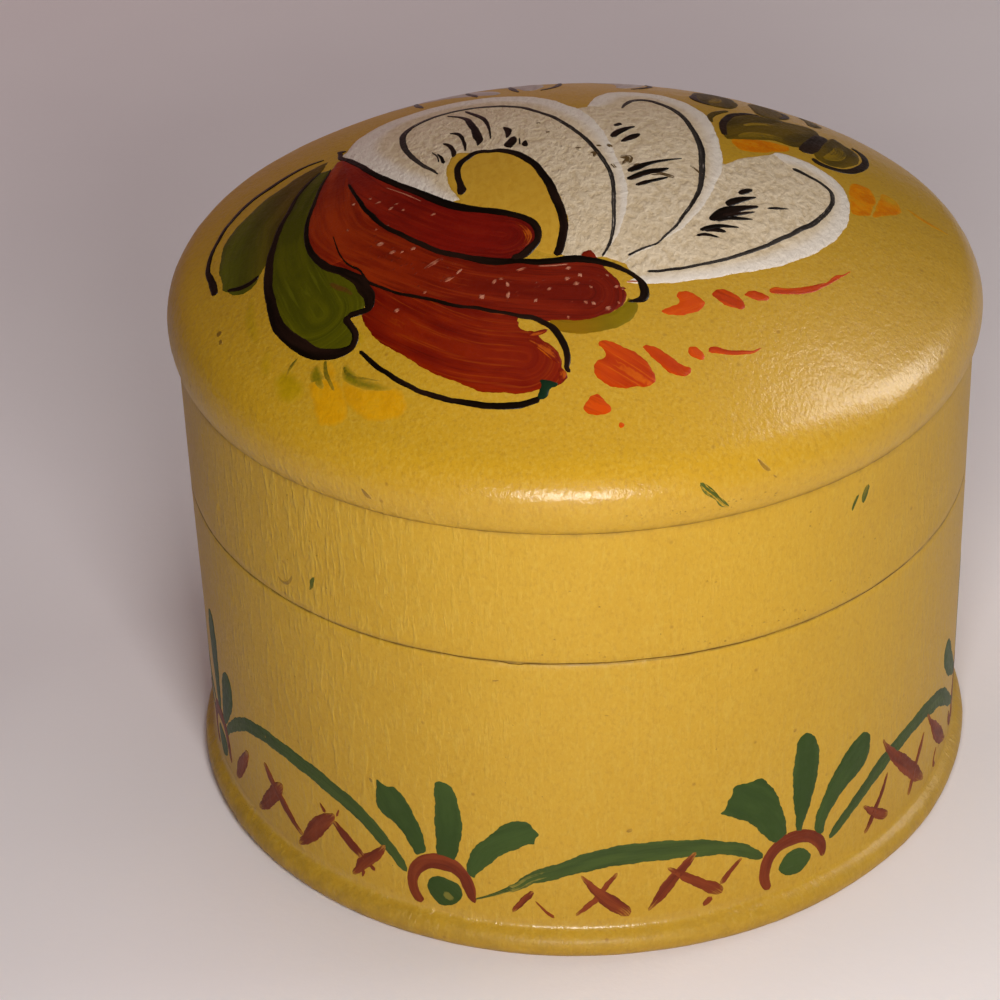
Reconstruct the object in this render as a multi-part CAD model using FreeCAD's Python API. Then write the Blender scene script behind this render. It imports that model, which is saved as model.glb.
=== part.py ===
"""Small round lidded trinket box, turned in wood, in two pieces.

The body is a cup with a solid bottom, a rounded bead at its foot and a thin spigot ring
that rises above the seam. The lid is a deep cap with a domed top. It drops over the spigot
and lands on the body at the seam, so the outside reads as one straight wall.

Millimetres, +Z up. The origin is on the box's axis, at the surface it stands on.
"""
import FreeCAD, Part
import math
import os

# ---- Outside: driving dimensions ---------------------------------------------------
wall_diameter = 83.0       # straight wall, the same on the body and on the lid
overall_height = 70.4      # from the table to the top of the dome
seam_height = 36.7         # where the lid's rim lands on the body
seam_bevel = 0.15          # tiny bevel on both outer edges of the seam

foot_projection = 1.3      # how far the foot bead stands out past the wall
foot_bead_radius = 1.85    # rounding of the bead
foot_bead_height = 1.65    # height of the bead's widest line, so the table face cuts it flat
foot_cove_radius = 0.45    # hollow that leads from the wall to the bead

dome_overhang = 0.8        # how far the lid's shoulder stands out past the wall
shoulder_height = 54.5     # height of the lid's widest line
shoulder_radius = 5.4      # rounding of the lid's shoulder
crease_depth = 0.25        # groove turned under the shoulder
crease_width = 0.35        # height of the groove's lower flank

# ---- Inside: driving dimensions ----------------------------------------------------
wall_thickness = 5.2       # body wall below the seam
base_thickness = 5.0       # solid bottom
floor_corner_radius = 3.0  # rounding between the compartment's floor and its wall
spigot_wall = 2.6          # thickness of the ring that guides the lid
spigot_height = 6.0        # how far the ring rises above the seam
spigot_bevel = 0.5         # lead-in on the ring's outer edge
ring_edge_bevel = 0.3      # broken edge on the ring's inner edge
fit_clearance = 0.2        # radial play between the ring and the lid
ring_end_gap = 0.4         # play between the ring's top and the lid's inner step
rim_bevel = 0.4            # lead-in inside the lid's rim
dome_thickness = 8.0       # wood left in the domed top

# ---- Derived radii and heights -----------------------------------------------------
wall_radius = wall_diameter / 2
bore_radius = wall_radius - wall_thickness
spigot_radius = bore_radius + spigot_wall
spigot_top = seam_height + spigot_height
rebate_radius = spigot_radius + fit_clearance
rebate_top = spigot_top + ring_end_gap


def point(radius, height):
    """A point of a turned profile, in the plane through the axis."""
    return FreeCAD.Vector(radius, 0, height)


def on_circle(centre, radius, angle):
    """The point of a circle in the profile plane, at an angle from the outward direction."""
    return centre + point(radius * math.cos(angle), radius * math.sin(angle))


def line(start, end):
    return Part.LineSegment(start, end).toShape()


def arc(centre, radius, start_angle, end_angle):
    """An arc of the profile from one angle to another, either way round."""
    middle_angle = (start_angle + end_angle) / 2
    return Part.Arc(on_circle(centre, radius, start_angle),
                    on_circle(centre, radius, middle_angle),
                    on_circle(centre, radius, end_angle)).toShape()


def chain(*stations):
    """Straight edges through a row of points."""
    return [line(start, end) for start, end in zip(stations, stations[1:])]


def turn(edges):
    """Turn a closed profile, given as edges in order, around the axis."""
    face = Part.Face(Part.Wire(edges))
    return face.revolve(FreeCAD.Vector(0, 0, 0), FreeCAD.Vector(0, 0, 1), 360)


def foot_edges():
    """The foot bead and its cove, from the table up to where the straight wall starts."""
    bead_centre = point(wall_radius + foot_projection - foot_bead_radius, foot_bead_height)
    reach = foot_bead_radius + foot_cove_radius
    cove_offset = wall_radius + foot_cove_radius - bead_centre.x
    meeting_angle = math.acos(cove_offset / reach)
    cove_centre = on_circle(bead_centre, reach, meeting_angle)
    table_angle = -math.asin(foot_bead_height / foot_bead_radius)
    standing_radius = on_circle(bead_centre, foot_bead_radius, table_angle).x
    bead = arc(bead_centre, foot_bead_radius, table_angle, meeting_angle)
    cove = arc(cove_centre, foot_cove_radius, meeting_angle - math.pi, -math.pi)
    return bead, cove, standing_radius, cove_centre.z


def make_box_body():
    """The cup: foot bead, wall, shoulder at the seam, spigot ring and round compartment."""
    bead, cove, standing_radius, wall_start = foot_edges()
    corner_centre = point(bore_radius - floor_corner_radius, base_thickness + floor_corner_radius)
    outside = chain(point(wall_radius, wall_start),
                    point(wall_radius, seam_height - seam_bevel),
                    point(wall_radius - seam_bevel, seam_height),
                    point(spigot_radius, seam_height),
                    point(spigot_radius, spigot_top - spigot_bevel),
                    point(spigot_radius - spigot_bevel, spigot_top),
                    point(bore_radius + ring_edge_bevel, spigot_top),
                    point(bore_radius, spigot_top - ring_edge_bevel),
                    point(bore_radius, corner_centre.z))
    floor_corner = arc(corner_centre, floor_corner_radius, 0, -math.pi / 2)
    floor_and_base = chain(point(corner_centre.x, base_thickness),
                           point(0, base_thickness),
                           point(0, 0),
                           point(standing_radius, 0))
    return turn([bead, cove] + outside + [floor_corner] + floor_and_base)


def dome_edges():
    """The lid's top, from the crease over the rounded shoulder to the axis.

    The shoulder is one arc, and the cap is a second arc that is tangent to it and level on
    the axis. Also gives the point where the shoulder starts and the cap's centre and radius.
    """
    shoulder_centre = point(wall_radius + dome_overhang - shoulder_radius, shoulder_height)
    start_angle = -math.acos((wall_radius - shoulder_centre.x) / shoulder_radius)
    rise = overall_height - shoulder_height
    cap_radius = ((shoulder_centre.x ** 2 + rise ** 2 - shoulder_radius ** 2)
                  / (2 * (rise - shoulder_radius)))
    cap_centre = point(0, overall_height - cap_radius)
    tangent_angle = math.atan2(shoulder_centre.z - cap_centre.z, shoulder_centre.x)
    shoulder = arc(shoulder_centre, shoulder_radius, start_angle, tangent_angle)
    cap = arc(cap_centre, cap_radius, tangent_angle, math.pi / 2)
    return shoulder, cap, on_circle(shoulder_centre, shoulder_radius, start_angle), cap_centre, cap_radius


def make_lid():
    """The deep cap: rim, wall, crease, dome, and inside a rebate for the spigot ring."""
    shoulder, cap, crease_top, cap_centre, cap_radius = dome_edges()
    hollow_radius = cap_radius - dome_thickness
    hollow_angle = math.acos(bore_radius / hollow_radius)
    hollow_edge = on_circle(cap_centre, hollow_radius, hollow_angle)
    ceiling = arc(cap_centre, hollow_radius, math.pi / 2, hollow_angle)
    inside = chain(hollow_edge,
                   point(bore_radius, rebate_top),
                   point(rebate_radius, rebate_top),
                   point(rebate_radius, seam_height + rim_bevel),
                   point(rebate_radius + rim_bevel, seam_height),
                   point(wall_radius - seam_bevel, seam_height),
                   point(wall_radius, seam_height + seam_bevel),
                   point(wall_radius, crease_top.z - crease_width),
                   point(wall_radius - crease_depth, crease_top.z),
                   crease_top)
    axis = line(point(0, overall_height), point(0, cap_centre.z + hollow_radius))
    return turn([shoulder, cap, axis, ceiling] + inside)


def write_part(name, shape):
    """Write one piece to parts/NAME.step after checking that it is one sound solid."""
    solid = shape.Solids[0]
    print(name, "valid", solid.isValid(), "solids", len(shape.Solids), "volume", round(solid.Volume, 1))
    solid.exportStep(os.path.join("parts", name + ".step"))


os.makedirs("parts", exist_ok=True)
write_part("box_body", make_box_body())
write_part("lid", make_lid())
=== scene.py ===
"""Looks of a small round trinket box: turned wood, ochre paint and brushed rosemaling.

The CAD model gives the two pieces and their sizes. Here each piece gets a dense turned shell
with the grain of the wood in it, and the ornament lies on the shells as thin films of paint.

Lengths are in millimetres until a mesh is made. A place on the domed lid is (x, y) seen from
above, with +y away from the front. A place on the straight wall is (arc, z): the distance
round the wall from the front, to the right, and the height. A brush stroke is a row of
(place, place, half width). Some small places are given by the pixel of the 1000 x 1000
photograph where they were read, and seen_at() works out where on the dome that is.
"""

import math

import bpy
import numpy as np
from mathutils import Matrix, Vector, geometry


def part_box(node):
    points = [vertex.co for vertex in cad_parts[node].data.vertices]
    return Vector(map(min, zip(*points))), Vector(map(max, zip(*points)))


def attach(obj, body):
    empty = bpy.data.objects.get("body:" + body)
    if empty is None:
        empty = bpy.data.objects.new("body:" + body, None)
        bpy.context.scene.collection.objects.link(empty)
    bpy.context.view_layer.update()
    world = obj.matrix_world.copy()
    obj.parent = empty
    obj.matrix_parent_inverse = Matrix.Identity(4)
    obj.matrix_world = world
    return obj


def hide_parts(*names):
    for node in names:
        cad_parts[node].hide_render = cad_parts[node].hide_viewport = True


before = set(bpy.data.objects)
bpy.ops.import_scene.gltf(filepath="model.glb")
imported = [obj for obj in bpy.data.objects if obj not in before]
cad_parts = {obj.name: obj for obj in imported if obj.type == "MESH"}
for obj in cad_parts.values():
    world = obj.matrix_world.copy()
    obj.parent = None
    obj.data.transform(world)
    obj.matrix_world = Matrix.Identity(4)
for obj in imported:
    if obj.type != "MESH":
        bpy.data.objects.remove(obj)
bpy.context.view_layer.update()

MM = 0.001
SEED = 1895
rng = np.random.default_rng(SEED)


# ---- Sizes, from the frame where it has them ---------------------------------------------
body_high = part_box("box_body")[1]
lid_low, lid_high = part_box("lid")
seam_height = lid_low.z / MM
spigot_top = body_high.z / MM
top_coat = 0.08               # the relief and the paint bring the top up to its full height
overall_height = lid_high.z / MM - top_coat
dome_radius = lid_high.x / MM

wall_radius = 41.5
foot_projection = 1.26
foot_bead_radius = 1.85
foot_bead_height = 1.65
foot_cove_radius = 0.95       # paint has filled the cove, the crease and the seam a little
shoulder_height = 54.5
shoulder_radius = 5.4
crease_depth = 0.07
crease_width = 0.7
bore_radius = 36.3
base_thickness = 5.0
floor_corner_radius = 3.0
spigot_radius = 38.9
spigot_bevel = 0.5
ring_edge_bevel = 0.3
rebate_radius = 39.1
rebate_top = 43.1
rim_bevel = 0.4
dome_thickness = 8.0

shoulder_centre_radius = dome_radius - shoulder_radius


def cap_of(top):
    """Radius and centre height of a cap that is level at the top and tangent to the shoulder."""
    rise = top - shoulder_height
    radius = (shoulder_centre_radius ** 2 + rise ** 2 - shoulder_radius ** 2) / (
        2 * (rise - shoulder_radius))
    return radius, top - radius


cap_radius, cap_centre_height = cap_of(overall_height)
tangent_angle = math.atan2(shoulder_height - cap_centre_height, shoulder_centre_radius)
tangent_radius = shoulder_centre_radius + shoulder_radius * math.cos(tangent_angle)
crease_angle = -math.acos((wall_radius - shoulder_centre_radius) / shoulder_radius)
crease_height = shoulder_height + shoulder_radius * math.sin(crease_angle)


# ---- Relief of the painted wood ----------------------------------------------------------
def make_waves(count, shortest, longest, stretch):
    """Directions and phases of waves in the wood; stretch is how much longer they run upright."""
    length = np.exp(rng.uniform(math.log(shortest), math.log(longest), count))
    heading = rng.uniform(0, 2 * math.pi, count)
    pitch = 2 * math.pi / length
    vectors = np.stack([pitch * np.cos(heading), pitch * np.sin(heading),
                        pitch * rng.uniform(-1, 1, count) / stretch], 1)
    return vectors, rng.uniform(0, 2 * math.pi, count)


GRAIN_WAVES = make_waves(36, 2.4, 6.0, 9.0)
HAND_WAVES = make_waves(10, 18.0, 50.0, 1.5)
GRAIN_RELIEF = 0.010
HAND_RELIEF = 0.030


def relief(points):
    """Height of the surface above the turned profile: fibres raised by the paint, and hand work."""
    total = np.zeros(len(points))
    for (vectors, phases), size in ((GRAIN_WAVES, GRAIN_RELIEF), (HAND_WAVES, HAND_RELIEF)):
        total += size * np.sin(points @ vectors.T + phases).sum(1) / math.sqrt(len(phases))
    return total


SEAM_WAVES = ((0.05, 5, 1), (0.03, 13, 0), (0.025, 37, 2))     # height, waves a turn, phase
SEAM_STEP = (-7.5, -5.6)      # the arcs between which the seam's edge drops
SEAM_STEP_DROP = 0.22
SEAM_STEP_SHARPNESS = 4.5


def seam_wave(arc):
    """How far the seam's edge strays up or down, with the small step near the front."""
    turn = arc / wall_radius
    stray = sum(height * np.sin(waves * turn + phase) for height, waves, phase in SEAM_WAVES)
    start, end = [np.tanh((arc - edge) * SEAM_STEP_SHARPNESS) for edge in SEAM_STEP]
    return stray - SEAM_STEP_DROP * (start - end) / 2


# ---- The two surfaces that paint lies on ---------------------------------------------------
def on_dome(places):
    """Points and normals of the lid's top at (x, y)."""
    radius = np.maximum(np.hypot(places[:, 0], places[:, 1]), 1e-6)
    outward = places / radius[:, None]
    capped = radius < tangent_radius
    across = np.where(capped, radius, np.clip(radius - shoulder_centre_radius, 0, shoulder_radius))
    size = np.where(capped, cap_radius, shoulder_radius)
    upright = np.sqrt(np.maximum(size ** 2 - across ** 2, 0))
    height = np.where(capped, cap_centre_height, shoulder_height) + upright
    normal = np.column_stack([outward * (across / size)[:, None], upright / size])
    return np.column_stack([places, height]), normal


def on_wall(places):
    """Points and normals of the wall at (arc, z), and of the shoulder's underside above it."""
    turn, height = places[:, 0] / wall_radius, places[:, 1]
    up = np.clip(height - shoulder_height, -shoulder_radius, shoulder_radius)
    bulge = shoulder_centre_radius + np.sqrt(shoulder_radius ** 2 - up ** 2)
    above = height > crease_height
    radius = np.where(above, bulge, wall_radius)
    tilt = np.where(above, up / shoulder_radius, 0)
    outward = np.stack([np.sin(turn), -np.cos(turn)], 1)
    flat = np.sqrt(1 - tilt ** 2)
    points = np.column_stack([outward * radius[:, None], height])
    return points, np.column_stack([outward * flat[:, None], tilt])


# ---- The camera, as fitted to the photograph ---------------------------------------------------
CAMERA_PLACE = (0, -278.75, 209.72)
CAMERA_PITCH, CAMERA_YAW, CAMERA_ROLL = 0.57546, -0.03044, -0.04026
CAMERA_LENS = 109.79
SENSOR_WIDTH = 36
PHOTO_SIZE = 1000
PIXEL_WIDTH = 0.12      # what a pixel covers on the lid


def camera_axes():
    """The directions to the camera's right, above it and ahead of it."""
    pitch, yaw, roll = CAMERA_PITCH, CAMERA_YAW, CAMERA_ROLL
    forward = Vector((math.sin(yaw) * math.cos(pitch), math.cos(yaw) * math.cos(pitch),
                      -math.sin(pitch)))
    level = forward.cross(Vector((0, 0, 1))).normalized()
    upright = level.cross(forward)
    right = math.cos(roll) * level + math.sin(roll) * upright
    up = math.cos(roll) * upright - math.sin(roll) * level
    return right, up, forward


def seen_at(*pixels):
    """The places on the CAD model's dome, to 0.1 mm, that the camera sees at some pixels."""
    right, up, forward = (np.array(axis) for axis in camera_axes())
    offsets = (np.array(pixels) - PHOTO_SIZE / 2) * SENSOR_WIDTH / (CAMERA_LENS * PHOTO_SIZE)
    ways = forward + offsets[:, :1] * right - offsets[:, 1:] * up
    ways /= np.linalg.norm(ways, axis=1)[:, None]
    radius, centre_height = cap_of(lid_high.z / MM)
    start = np.array(CAMERA_PLACE) - (0, 0, centre_height)
    along = ways @ start
    distance = -along - np.sqrt(along ** 2 - start @ start + radius ** 2)
    places = (start + ways * distance[:, None])[:, :2]
    return tuple(tuple(place) for place in places.round(1).tolist())


# ---- Mesh helpers ----------------------------------------------------------------------------
def make_object(name, points, faces, materials, body, finishes=None):
    mesh = bpy.data.meshes.new(name)
    mesh.from_pydata((np.asarray(points) * MM).tolist(), [], faces)
    mesh.polygons.foreach_set("use_smooth", [True] * len(mesh.polygons))
    for material in materials:
        mesh.materials.append(material)
    if finishes is not None:
        mesh.polygons.foreach_set("material_index", finishes)
    mesh.update()
    piece = bpy.data.objects.new(name, mesh)
    bpy.context.scene.collection.objects.link(piece)
    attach(piece, body)
    return piece


def smooth(points, step, closed=False):
    """A smooth line through given points (centripetal Catmull-Rom), cut about every step."""
    knots = np.array(points, float)
    if closed:
        knots = np.vstack([knots[-1:], knots, knots[:2]])
    else:
        knots = np.vstack([2 * knots[0] - knots[1], knots, 2 * knots[-1] - knots[-2]])
    runs = []
    for a, b, c, d in zip(knots, knots[1:], knots[2:], knots[3:]):
        gaps = [max(math.dist(p[:2], q[:2]), 1e-4) ** 0.5 for p, q in ((a, b), (b, c), (c, d))]
        t0, t1, t2, t3 = np.cumsum([0] + gaps)
        count = max(1, round(gaps[1] ** 2 / step))
        t = np.linspace(t1, t2, count, endpoint=False)[:, None]
        ab = (t1 - t) / (t1 - t0) * a + (t - t0) / (t1 - t0) * b
        bc = (t2 - t) / (t2 - t1) * b + (t - t1) / (t2 - t1) * c
        cd = (t3 - t) / (t3 - t2) * c + (t - t2) / (t3 - t2) * d
        abc = (t2 - t) / (t2 - t0) * ab + (t - t0) / (t2 - t0) * bc
        bcd = (t3 - t) / (t3 - t1) * bc + (t - t1) / (t3 - t1) * cd
        runs.append((t2 - t) / (t2 - t1) * abc + (t - t1) / (t2 - t1) * bcd)
    if not closed:
        runs.append(knots[-2:-1])
    return np.vstack(runs)


def lengths(line):
    """The distance along a line at each of its points."""
    return np.concatenate([[0], np.cumsum(np.linalg.norm(np.diff(line[:, :2], axis=0), axis=1))])


def directions(line):
    """The way a line runs at each of its points."""
    run = np.gradient(line[:, :2], axis=0)
    return run / np.maximum(np.linalg.norm(run, axis=1), 1e-9)[:, None]


def resample(line, count):
    """A line's places at even distances."""
    along = lengths(line)
    spots = np.linspace(0, along[-1], count)
    return np.column_stack([np.interp(spots, along, line[:, k]) for k in (0, 1)])


WOBBLES = ((4.1, 0.5), (1.7, 0.35), (0.75, 0.25))     # length and share of each


def wobble(along, size):
    """The unsteady edge of a brush stroke."""
    total = np.zeros(len(along))
    for length, share in WOBBLES:
        total += share * np.sin(2 * math.pi * along / length + rng.uniform(0, 2 * math.pi))
    return size * total


def inside(points, outline):
    """Which points lie inside a closed outline."""
    x, y = points[:, :1], points[:, 1:]
    ax, ay = outline.T
    bx, by = np.roll(outline, -1, 0).T
    crosses = (ay > y) != (by > y)
    with np.errstate(divide="ignore", invalid="ignore"):
        at = ax + (y - ay) / (by - ay) * (bx - ax)
    return (crosses & (x < at)).sum(1) % 2 == 1


FILM = 0.016            # thickness of one layer of paint
FILM_STEP = 0.002       # how much thicker each of LEVELS strokes in turn is, so that none coincide
LEVELS = 6
EDGE_SINK = 0.02        # how far a film's edge goes below the surface, so that it is closed
ACROSS = np.array([-1, -0.95, -0.8, -0.45, 0, 0.45, 0.8, 0.95, 1])
CROSS_SECTION = np.array([0, 0.5, 1.05, 1.0, 0.95, 1.0, 1.05, 0.5, 0])
SOFT_RIM = 0.2          # paint with at least this rim is thin, and its strokes are rounded
STROKE_STEP = 0.22
STROKE_LEAST = 0.03     # least half width of a stroke
TIP_LEAST = 0.06        # least length over which a stroke's end is rounded
AREA_STEP = 0.5
AREA_STRAY = 0.15       # how far an area's inner points stray, in steps
AREA_MARGIN = 0.6       # how far they keep from its edge, in steps
RIDGE_HEIGHT = 0.15     # the fuller line of paint near an area's edge, as a share
RIDGE_PLACE = 0.3
STRAY_MOST = 0.3        # how far a stroke's edge strays at most, as a share of its half width
SPINE_ROUNDING = 0.5    # keeps an area's streaks apart over the spine itself
SIDE_SHARE = 0.12       # makes them differ on the spine's two sides
SPINE_PLACES = 24
INSET_KEPT = 0.9        # how near an inset point may come to the outline, as a share of the inset


class Paint:
    """Strokes and filled areas of one colour on one surface, joined into one piece.

    Each point knows where it is in its stroke: "flow" holds the distance along the brush's
    run, the distance from its middle and the distance from the edge; "tint" differs from stroke
    to stroke; "load" is 1 where the brush was full and 0 where it ran dry. In a sided piece the
    distance from the middle is negative on the right of the run.

    layer is how thick the paint lies, in films, and with that what lies on what. rim is how far
    in from its edge an area is at its full thickness.
    """

    def __init__(self, surface, layer, rim=0.14, sided=False):
        self.surface, self.layer, self.rim, self.sided = surface, layer, rim, sided
        self.section = CROSS_SECTION if rim < SOFT_RIM else 1 - ACROSS ** 2
        self.points, self.flow, self.tint, self.load, self.faces = [], [], [], [], []
        self.total = self.count = 0

    def lay(self, places, lift, flow, load, faces, tint):
        points, normals = self.surface(places)
        height = relief(points) + lift
        self.points.append(points + normals * height[:, None])
        self.flow.append(flow)
        self.tint.append(np.full(len(places), rng.uniform() if tint is None else tint))
        self.load.append(load)
        self.faces += [[i + self.total for i in face] for face in faces]
        self.total += len(places)
        self.count += 1

    def thickness(self):
        return FILM * self.layer + FILM_STEP * (self.count % LEVELS)

    def stroke(self, points, tint=None, load=(1.0, 1.0), unsteady=0.035):
        """A brush stroke along (place, place, half width); load says how full the brush was."""
        line = smooth(points, STROKE_STEP)
        along = lengths(line)
        half = np.maximum(line[:, 2], STROKE_LEAST)
        for distance, reach in ((along, half[0]), (along[-1] - along, half[-1])):
            left = np.clip(1 - distance / max(reach, TIP_LEAST), 0, 1)
            half = half * np.sqrt(1 - left ** 2)
        run = directions(line)
        side = np.stack([-run[:, 1], run[:, 0]], 1)
        amount = np.minimum(unsteady, STRAY_MOST * half)
        edges = np.stack([half + amount * wobble(along, 1), half + amount * wobble(along, 1)], 1)
        reach = np.where(ACROSS[None] < 0, edges[:, :1], edges[:, 1:]) * ACROSS[None]
        places = line[:, None, :2] + side[:, None] * reach[..., None]
        lift = (self.thickness() + EDGE_SINK) * self.section[None] - EDGE_SINK
        lift = np.broadcast_to(lift, reach.shape)
        flow = np.stack([np.broadcast_to(along[:, None], reach.shape), reach,
                         half[:, None] - np.abs(reach)], -1)
        full = np.interp(along / along[-1], np.linspace(0, 1, len(load)), load)
        full = np.broadcast_to(full[:, None], reach.shape)
        rows, columns = reach.shape
        corner = np.arange((rows - 1) * columns).reshape(rows - 1, columns)[:, :-1].ravel()
        faces = np.stack([corner, corner + 1, corner + columns + 1, corner + columns], 1)
        self.lay(places.reshape(-1, 2), lift.ravel(), flow.reshape(-1, 3), full.ravel(),
                 faces[:, ::-1].tolist(), tint)

    def area(self, outline, spine, tint=None, unsteady=0.07, dry=()):
        """A filled outline, brushed along the spine; dry lists (x, y, reach) of thin spots."""
        outline = outline[:, :2]
        run = directions(np.vstack([outline[-1:], outline, outline[:1]]))[1:-1]
        amount = wobble(lengths(outline), unsteady)
        outline = outline + np.stack([-run[:, 1], run[:, 0]], 1) * amount[:, None]
        low, high = outline.min(0), outline.max(0)
        columns, rows = np.ceil((high - low) / AREA_STEP).astype(int) + 1
        grid = np.stack(np.meshgrid(np.arange(columns), np.arange(rows)), -1).reshape(-1, 2) * 1.0
        grid[:, 0] += 0.5 * (grid[:, 1] % 2)
        grid = low + (grid + rng.uniform(-AREA_STRAY, AREA_STRAY, grid.shape)) * AREA_STEP
        grid = grid[inside(grid, outline)]
        gap = np.sqrt(((grid[:, None] - outline[None]) ** 2).sum(2)).min(1)
        grid = grid[gap > AREA_MARGIN * AREA_STEP]
        inner = self.inset(outline, self.rim)
        loop = [list(range(len(outline)))]
        spots = [Vector(p) for p in np.vstack([outline, inner, grid])]
        found = geometry.delaunay_2d_cdt(spots, [], loop, 1, 1e-5)
        places = np.array([tuple(p) for p in found[0]])
        faces = [list(face) for face in found[2]]
        edge = np.sqrt(((places[:, None] - outline[None]) ** 2).sum(2)).min(1)
        rise_in = np.clip(edge / self.rim, 0, 1)
        ridge = 1 + RIDGE_HEIGHT * np.exp(-((edge - RIDGE_PLACE) / RIDGE_PLACE) ** 2)
        lift = (self.thickness() * ridge + EDGE_SINK) * rise_in - EDGE_SINK
        line = smooth(spine, STROKE_STEP)
        run, along = directions(line), lengths(line)
        nearest = ((places[:, None] - line[None, :, :2]) ** 2).sum(2).argmin(1)
        away = places - line[nearest, :2]
        forward = run[nearest]
        beside = forward[:, 0] * away[:, 1] - forward[:, 1] * away[:, 0]
        round_spine = np.sqrt((away ** 2).sum(1) + SPINE_ROUNDING) + SIDE_SHARE * beside
        across = beside if self.sided else round_spine
        flow = np.stack([along[nearest] + (away * forward).sum(1), across, edge], 1)
        load = np.ones(len(places))
        for x, y, reach in dry:
            load *= 1 - np.exp(-((places - (x, y)) ** 2).sum(1) / reach ** 2)
        self.lay(places, lift, flow, load, faces, tint)

    @staticmethod
    def inset(outline, distance):
        """The outline moved inwards, without the points that come too near its other stretches."""
        run = directions(np.vstack([outline[-1:], outline, outline[:1]]))[1:-1]
        area = np.cross(outline, np.roll(outline, -1, 0)).sum()
        moved = outline + np.stack([-run[:, 1], run[:, 0]], 1) * distance * np.sign(area)
        gap = np.sqrt(((moved[:, None] - outline[None]) ** 2).sum(2)).min(1)
        return moved[gap > INSET_KEPT * distance]

    def closed(self, outline, spine, **how):
        """An area inside a smooth closed outline."""
        self.area(smooth(outline, STROKE_STEP, closed=True), spine, **how)

    def between(self, left, right, spine=None, **how):
        """An area between two rows of places that run the same way, brushed along them."""
        left, right = smooth(left, STROKE_STEP), smooth(right, STROKE_STEP)
        if spine is None:
            spine = (resample(left, SPINE_PLACES) + resample(right, SPINE_PLACES)) / 2
        self.area(np.vstack([left, right[::-1]]), spine, **how)

    def blob(self, outline, **how):
        """A small dab, brushed along its longest direction."""
        places = np.array(outline, float)
        middle = places.mean(0)
        axis = np.linalg.svd(places - middle)[2][0]
        reach = np.abs((places - middle) @ axis).max()
        self.closed(outline, [middle - axis * reach, middle, middle + axis * reach], **how)

    def piece(self, name, material, body="lid", slot="painted_lid_wood"):
        """Join what is painted so far into one piece, with what each point knows."""
        made = make_object(name, np.vstack(self.points), self.faces, [material], body)
        flow = made.data.attributes.new("flow", "FLOAT_VECTOR", "POINT")
        flow.data.foreach_set("vector", np.vstack(self.flow).astype(np.float32).ravel())
        for key, values in (("tint", self.tint), ("load", self.load)):
            kept = made.data.attributes.new(key, "FLOAT", "POINT")
            kept.data.foreach_set("value", np.concatenate(values).astype(np.float32))


def paint_strokes(name, material, layer, strokes, load=(1.0, 1.0), surface=on_dome, rim=0.14, **how):
    """One piece on the lid of brush strokes that are all laid in the same way."""
    paint = Paint(surface, layer, rim)
    for line in strokes:
        paint.stroke(line, load=load, **how)
    paint.piece(name, material)


# ---- Materials ---------------------------------------------------------------------------------
PAINT_TONE = 0.82


def srgb(red, green, blue):
    """A colour given as it looks on a screen, 0 to 255, as Blender's linear values."""
    tones = [c / 255 for c in (red, green, blue)]
    return tuple(t / 12.92 if t <= 0.04045 else ((t + 0.055) / 1.055) ** 2.4 for t in tones) + (1,)


def pigment(red, green, blue):
    """A paint, given as it looks under the box's light, which is a little over full white."""
    return tuple(PAINT_TONE * part for part in srgb(red, green, blue)[:3]) + (1,)


class Nodes:
    """Short names for the nodes of one material."""

    def __init__(self, name):
        self.material = bpy.data.materials.new(name)
        self.material.use_nodes = True
        self.tree = self.material.node_tree
        self.shader = self.tree.nodes["Principled BSDF"]
        coordinates = self.tree.nodes.new("ShaderNodeTexCoord")
        self.place = self.scaled(coordinates.outputs["Object"], (1 / MM,) * 3)
        self.x, self.y, self.z = self.node("SeparateXYZ", self.place).outputs

    def node(self, kind, *inputs, **settings):
        made = self.tree.nodes.new("ShaderNode" + kind)
        for key, value in settings.items():
            setattr(made, key, value)
        for socket, value in zip(made.inputs, inputs):
            self.feed(socket, value)
        return made

    def add(self, kind, *inputs, **settings):
        """A node's first output."""
        return self.node(kind, *inputs, **settings).outputs[0]

    def feed(self, socket, value):
        """Link or set a socket."""
        if isinstance(value, bpy.types.NodeSocket):
            self.tree.links.new(value, socket)
        elif value is not None:
            socket.default_value = value

    def scaled(self, vector, factors):
        return self.add("VectorMath", vector, factors, operation="MULTIPLY")

    def shifted(self, vector, amount):
        """The vector moved along z."""
        offset = self.add("CombineXYZ", None, None, amount)
        return self.add("VectorMath", vector, offset, operation="ADD")

    def noise(self, vector, scale, detail, roughness=0.5):
        return self.add("TexNoise", vector, None, scale, detail, roughness)

    def ramp(self, value, low, high, to_low=0.0, to_high=1.0):
        return self.add("MapRange", value, low, high, to_low, to_high,
                        interpolation_type="SMOOTHSTEP")

    def sum(self, *values):
        return self.together("ADD", *values)

    def times(self, *values):
        return self.together("MULTIPLY", *values)

    def together(self, operation, total, *values):
        for value in values:
            total = self.add("Math", total, value, operation=operation)
        return total

    def mix(self, factor, a, b):
        return self.add("MixRGB", factor, a, b)

    def attribute(self, name, output):
        return self.node("Attribute", attribute_name=name).outputs[output]

    def bump(self, height, millimetres, normal=None):
        made = self.node("Bump")
        for name, value in (("Strength", 1.0), ("Distance", millimetres * MM),
                            ("Height", height), ("Normal", normal)):
            self.feed(made.inputs[name], value)
        return made.outputs[0]

    def finish(self, colour, roughness, normal, **fixed):
        for name, value in (("Base Color", colour), ("Roughness", roughness), ("Normal", normal),
                            ("Coat Normal", normal)):
            self.feed(self.shader.inputs[name], value)
        for name, value in fixed.items():
            self.shader.inputs[name.replace("_", " ")].default_value = value
        return self.material


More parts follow.
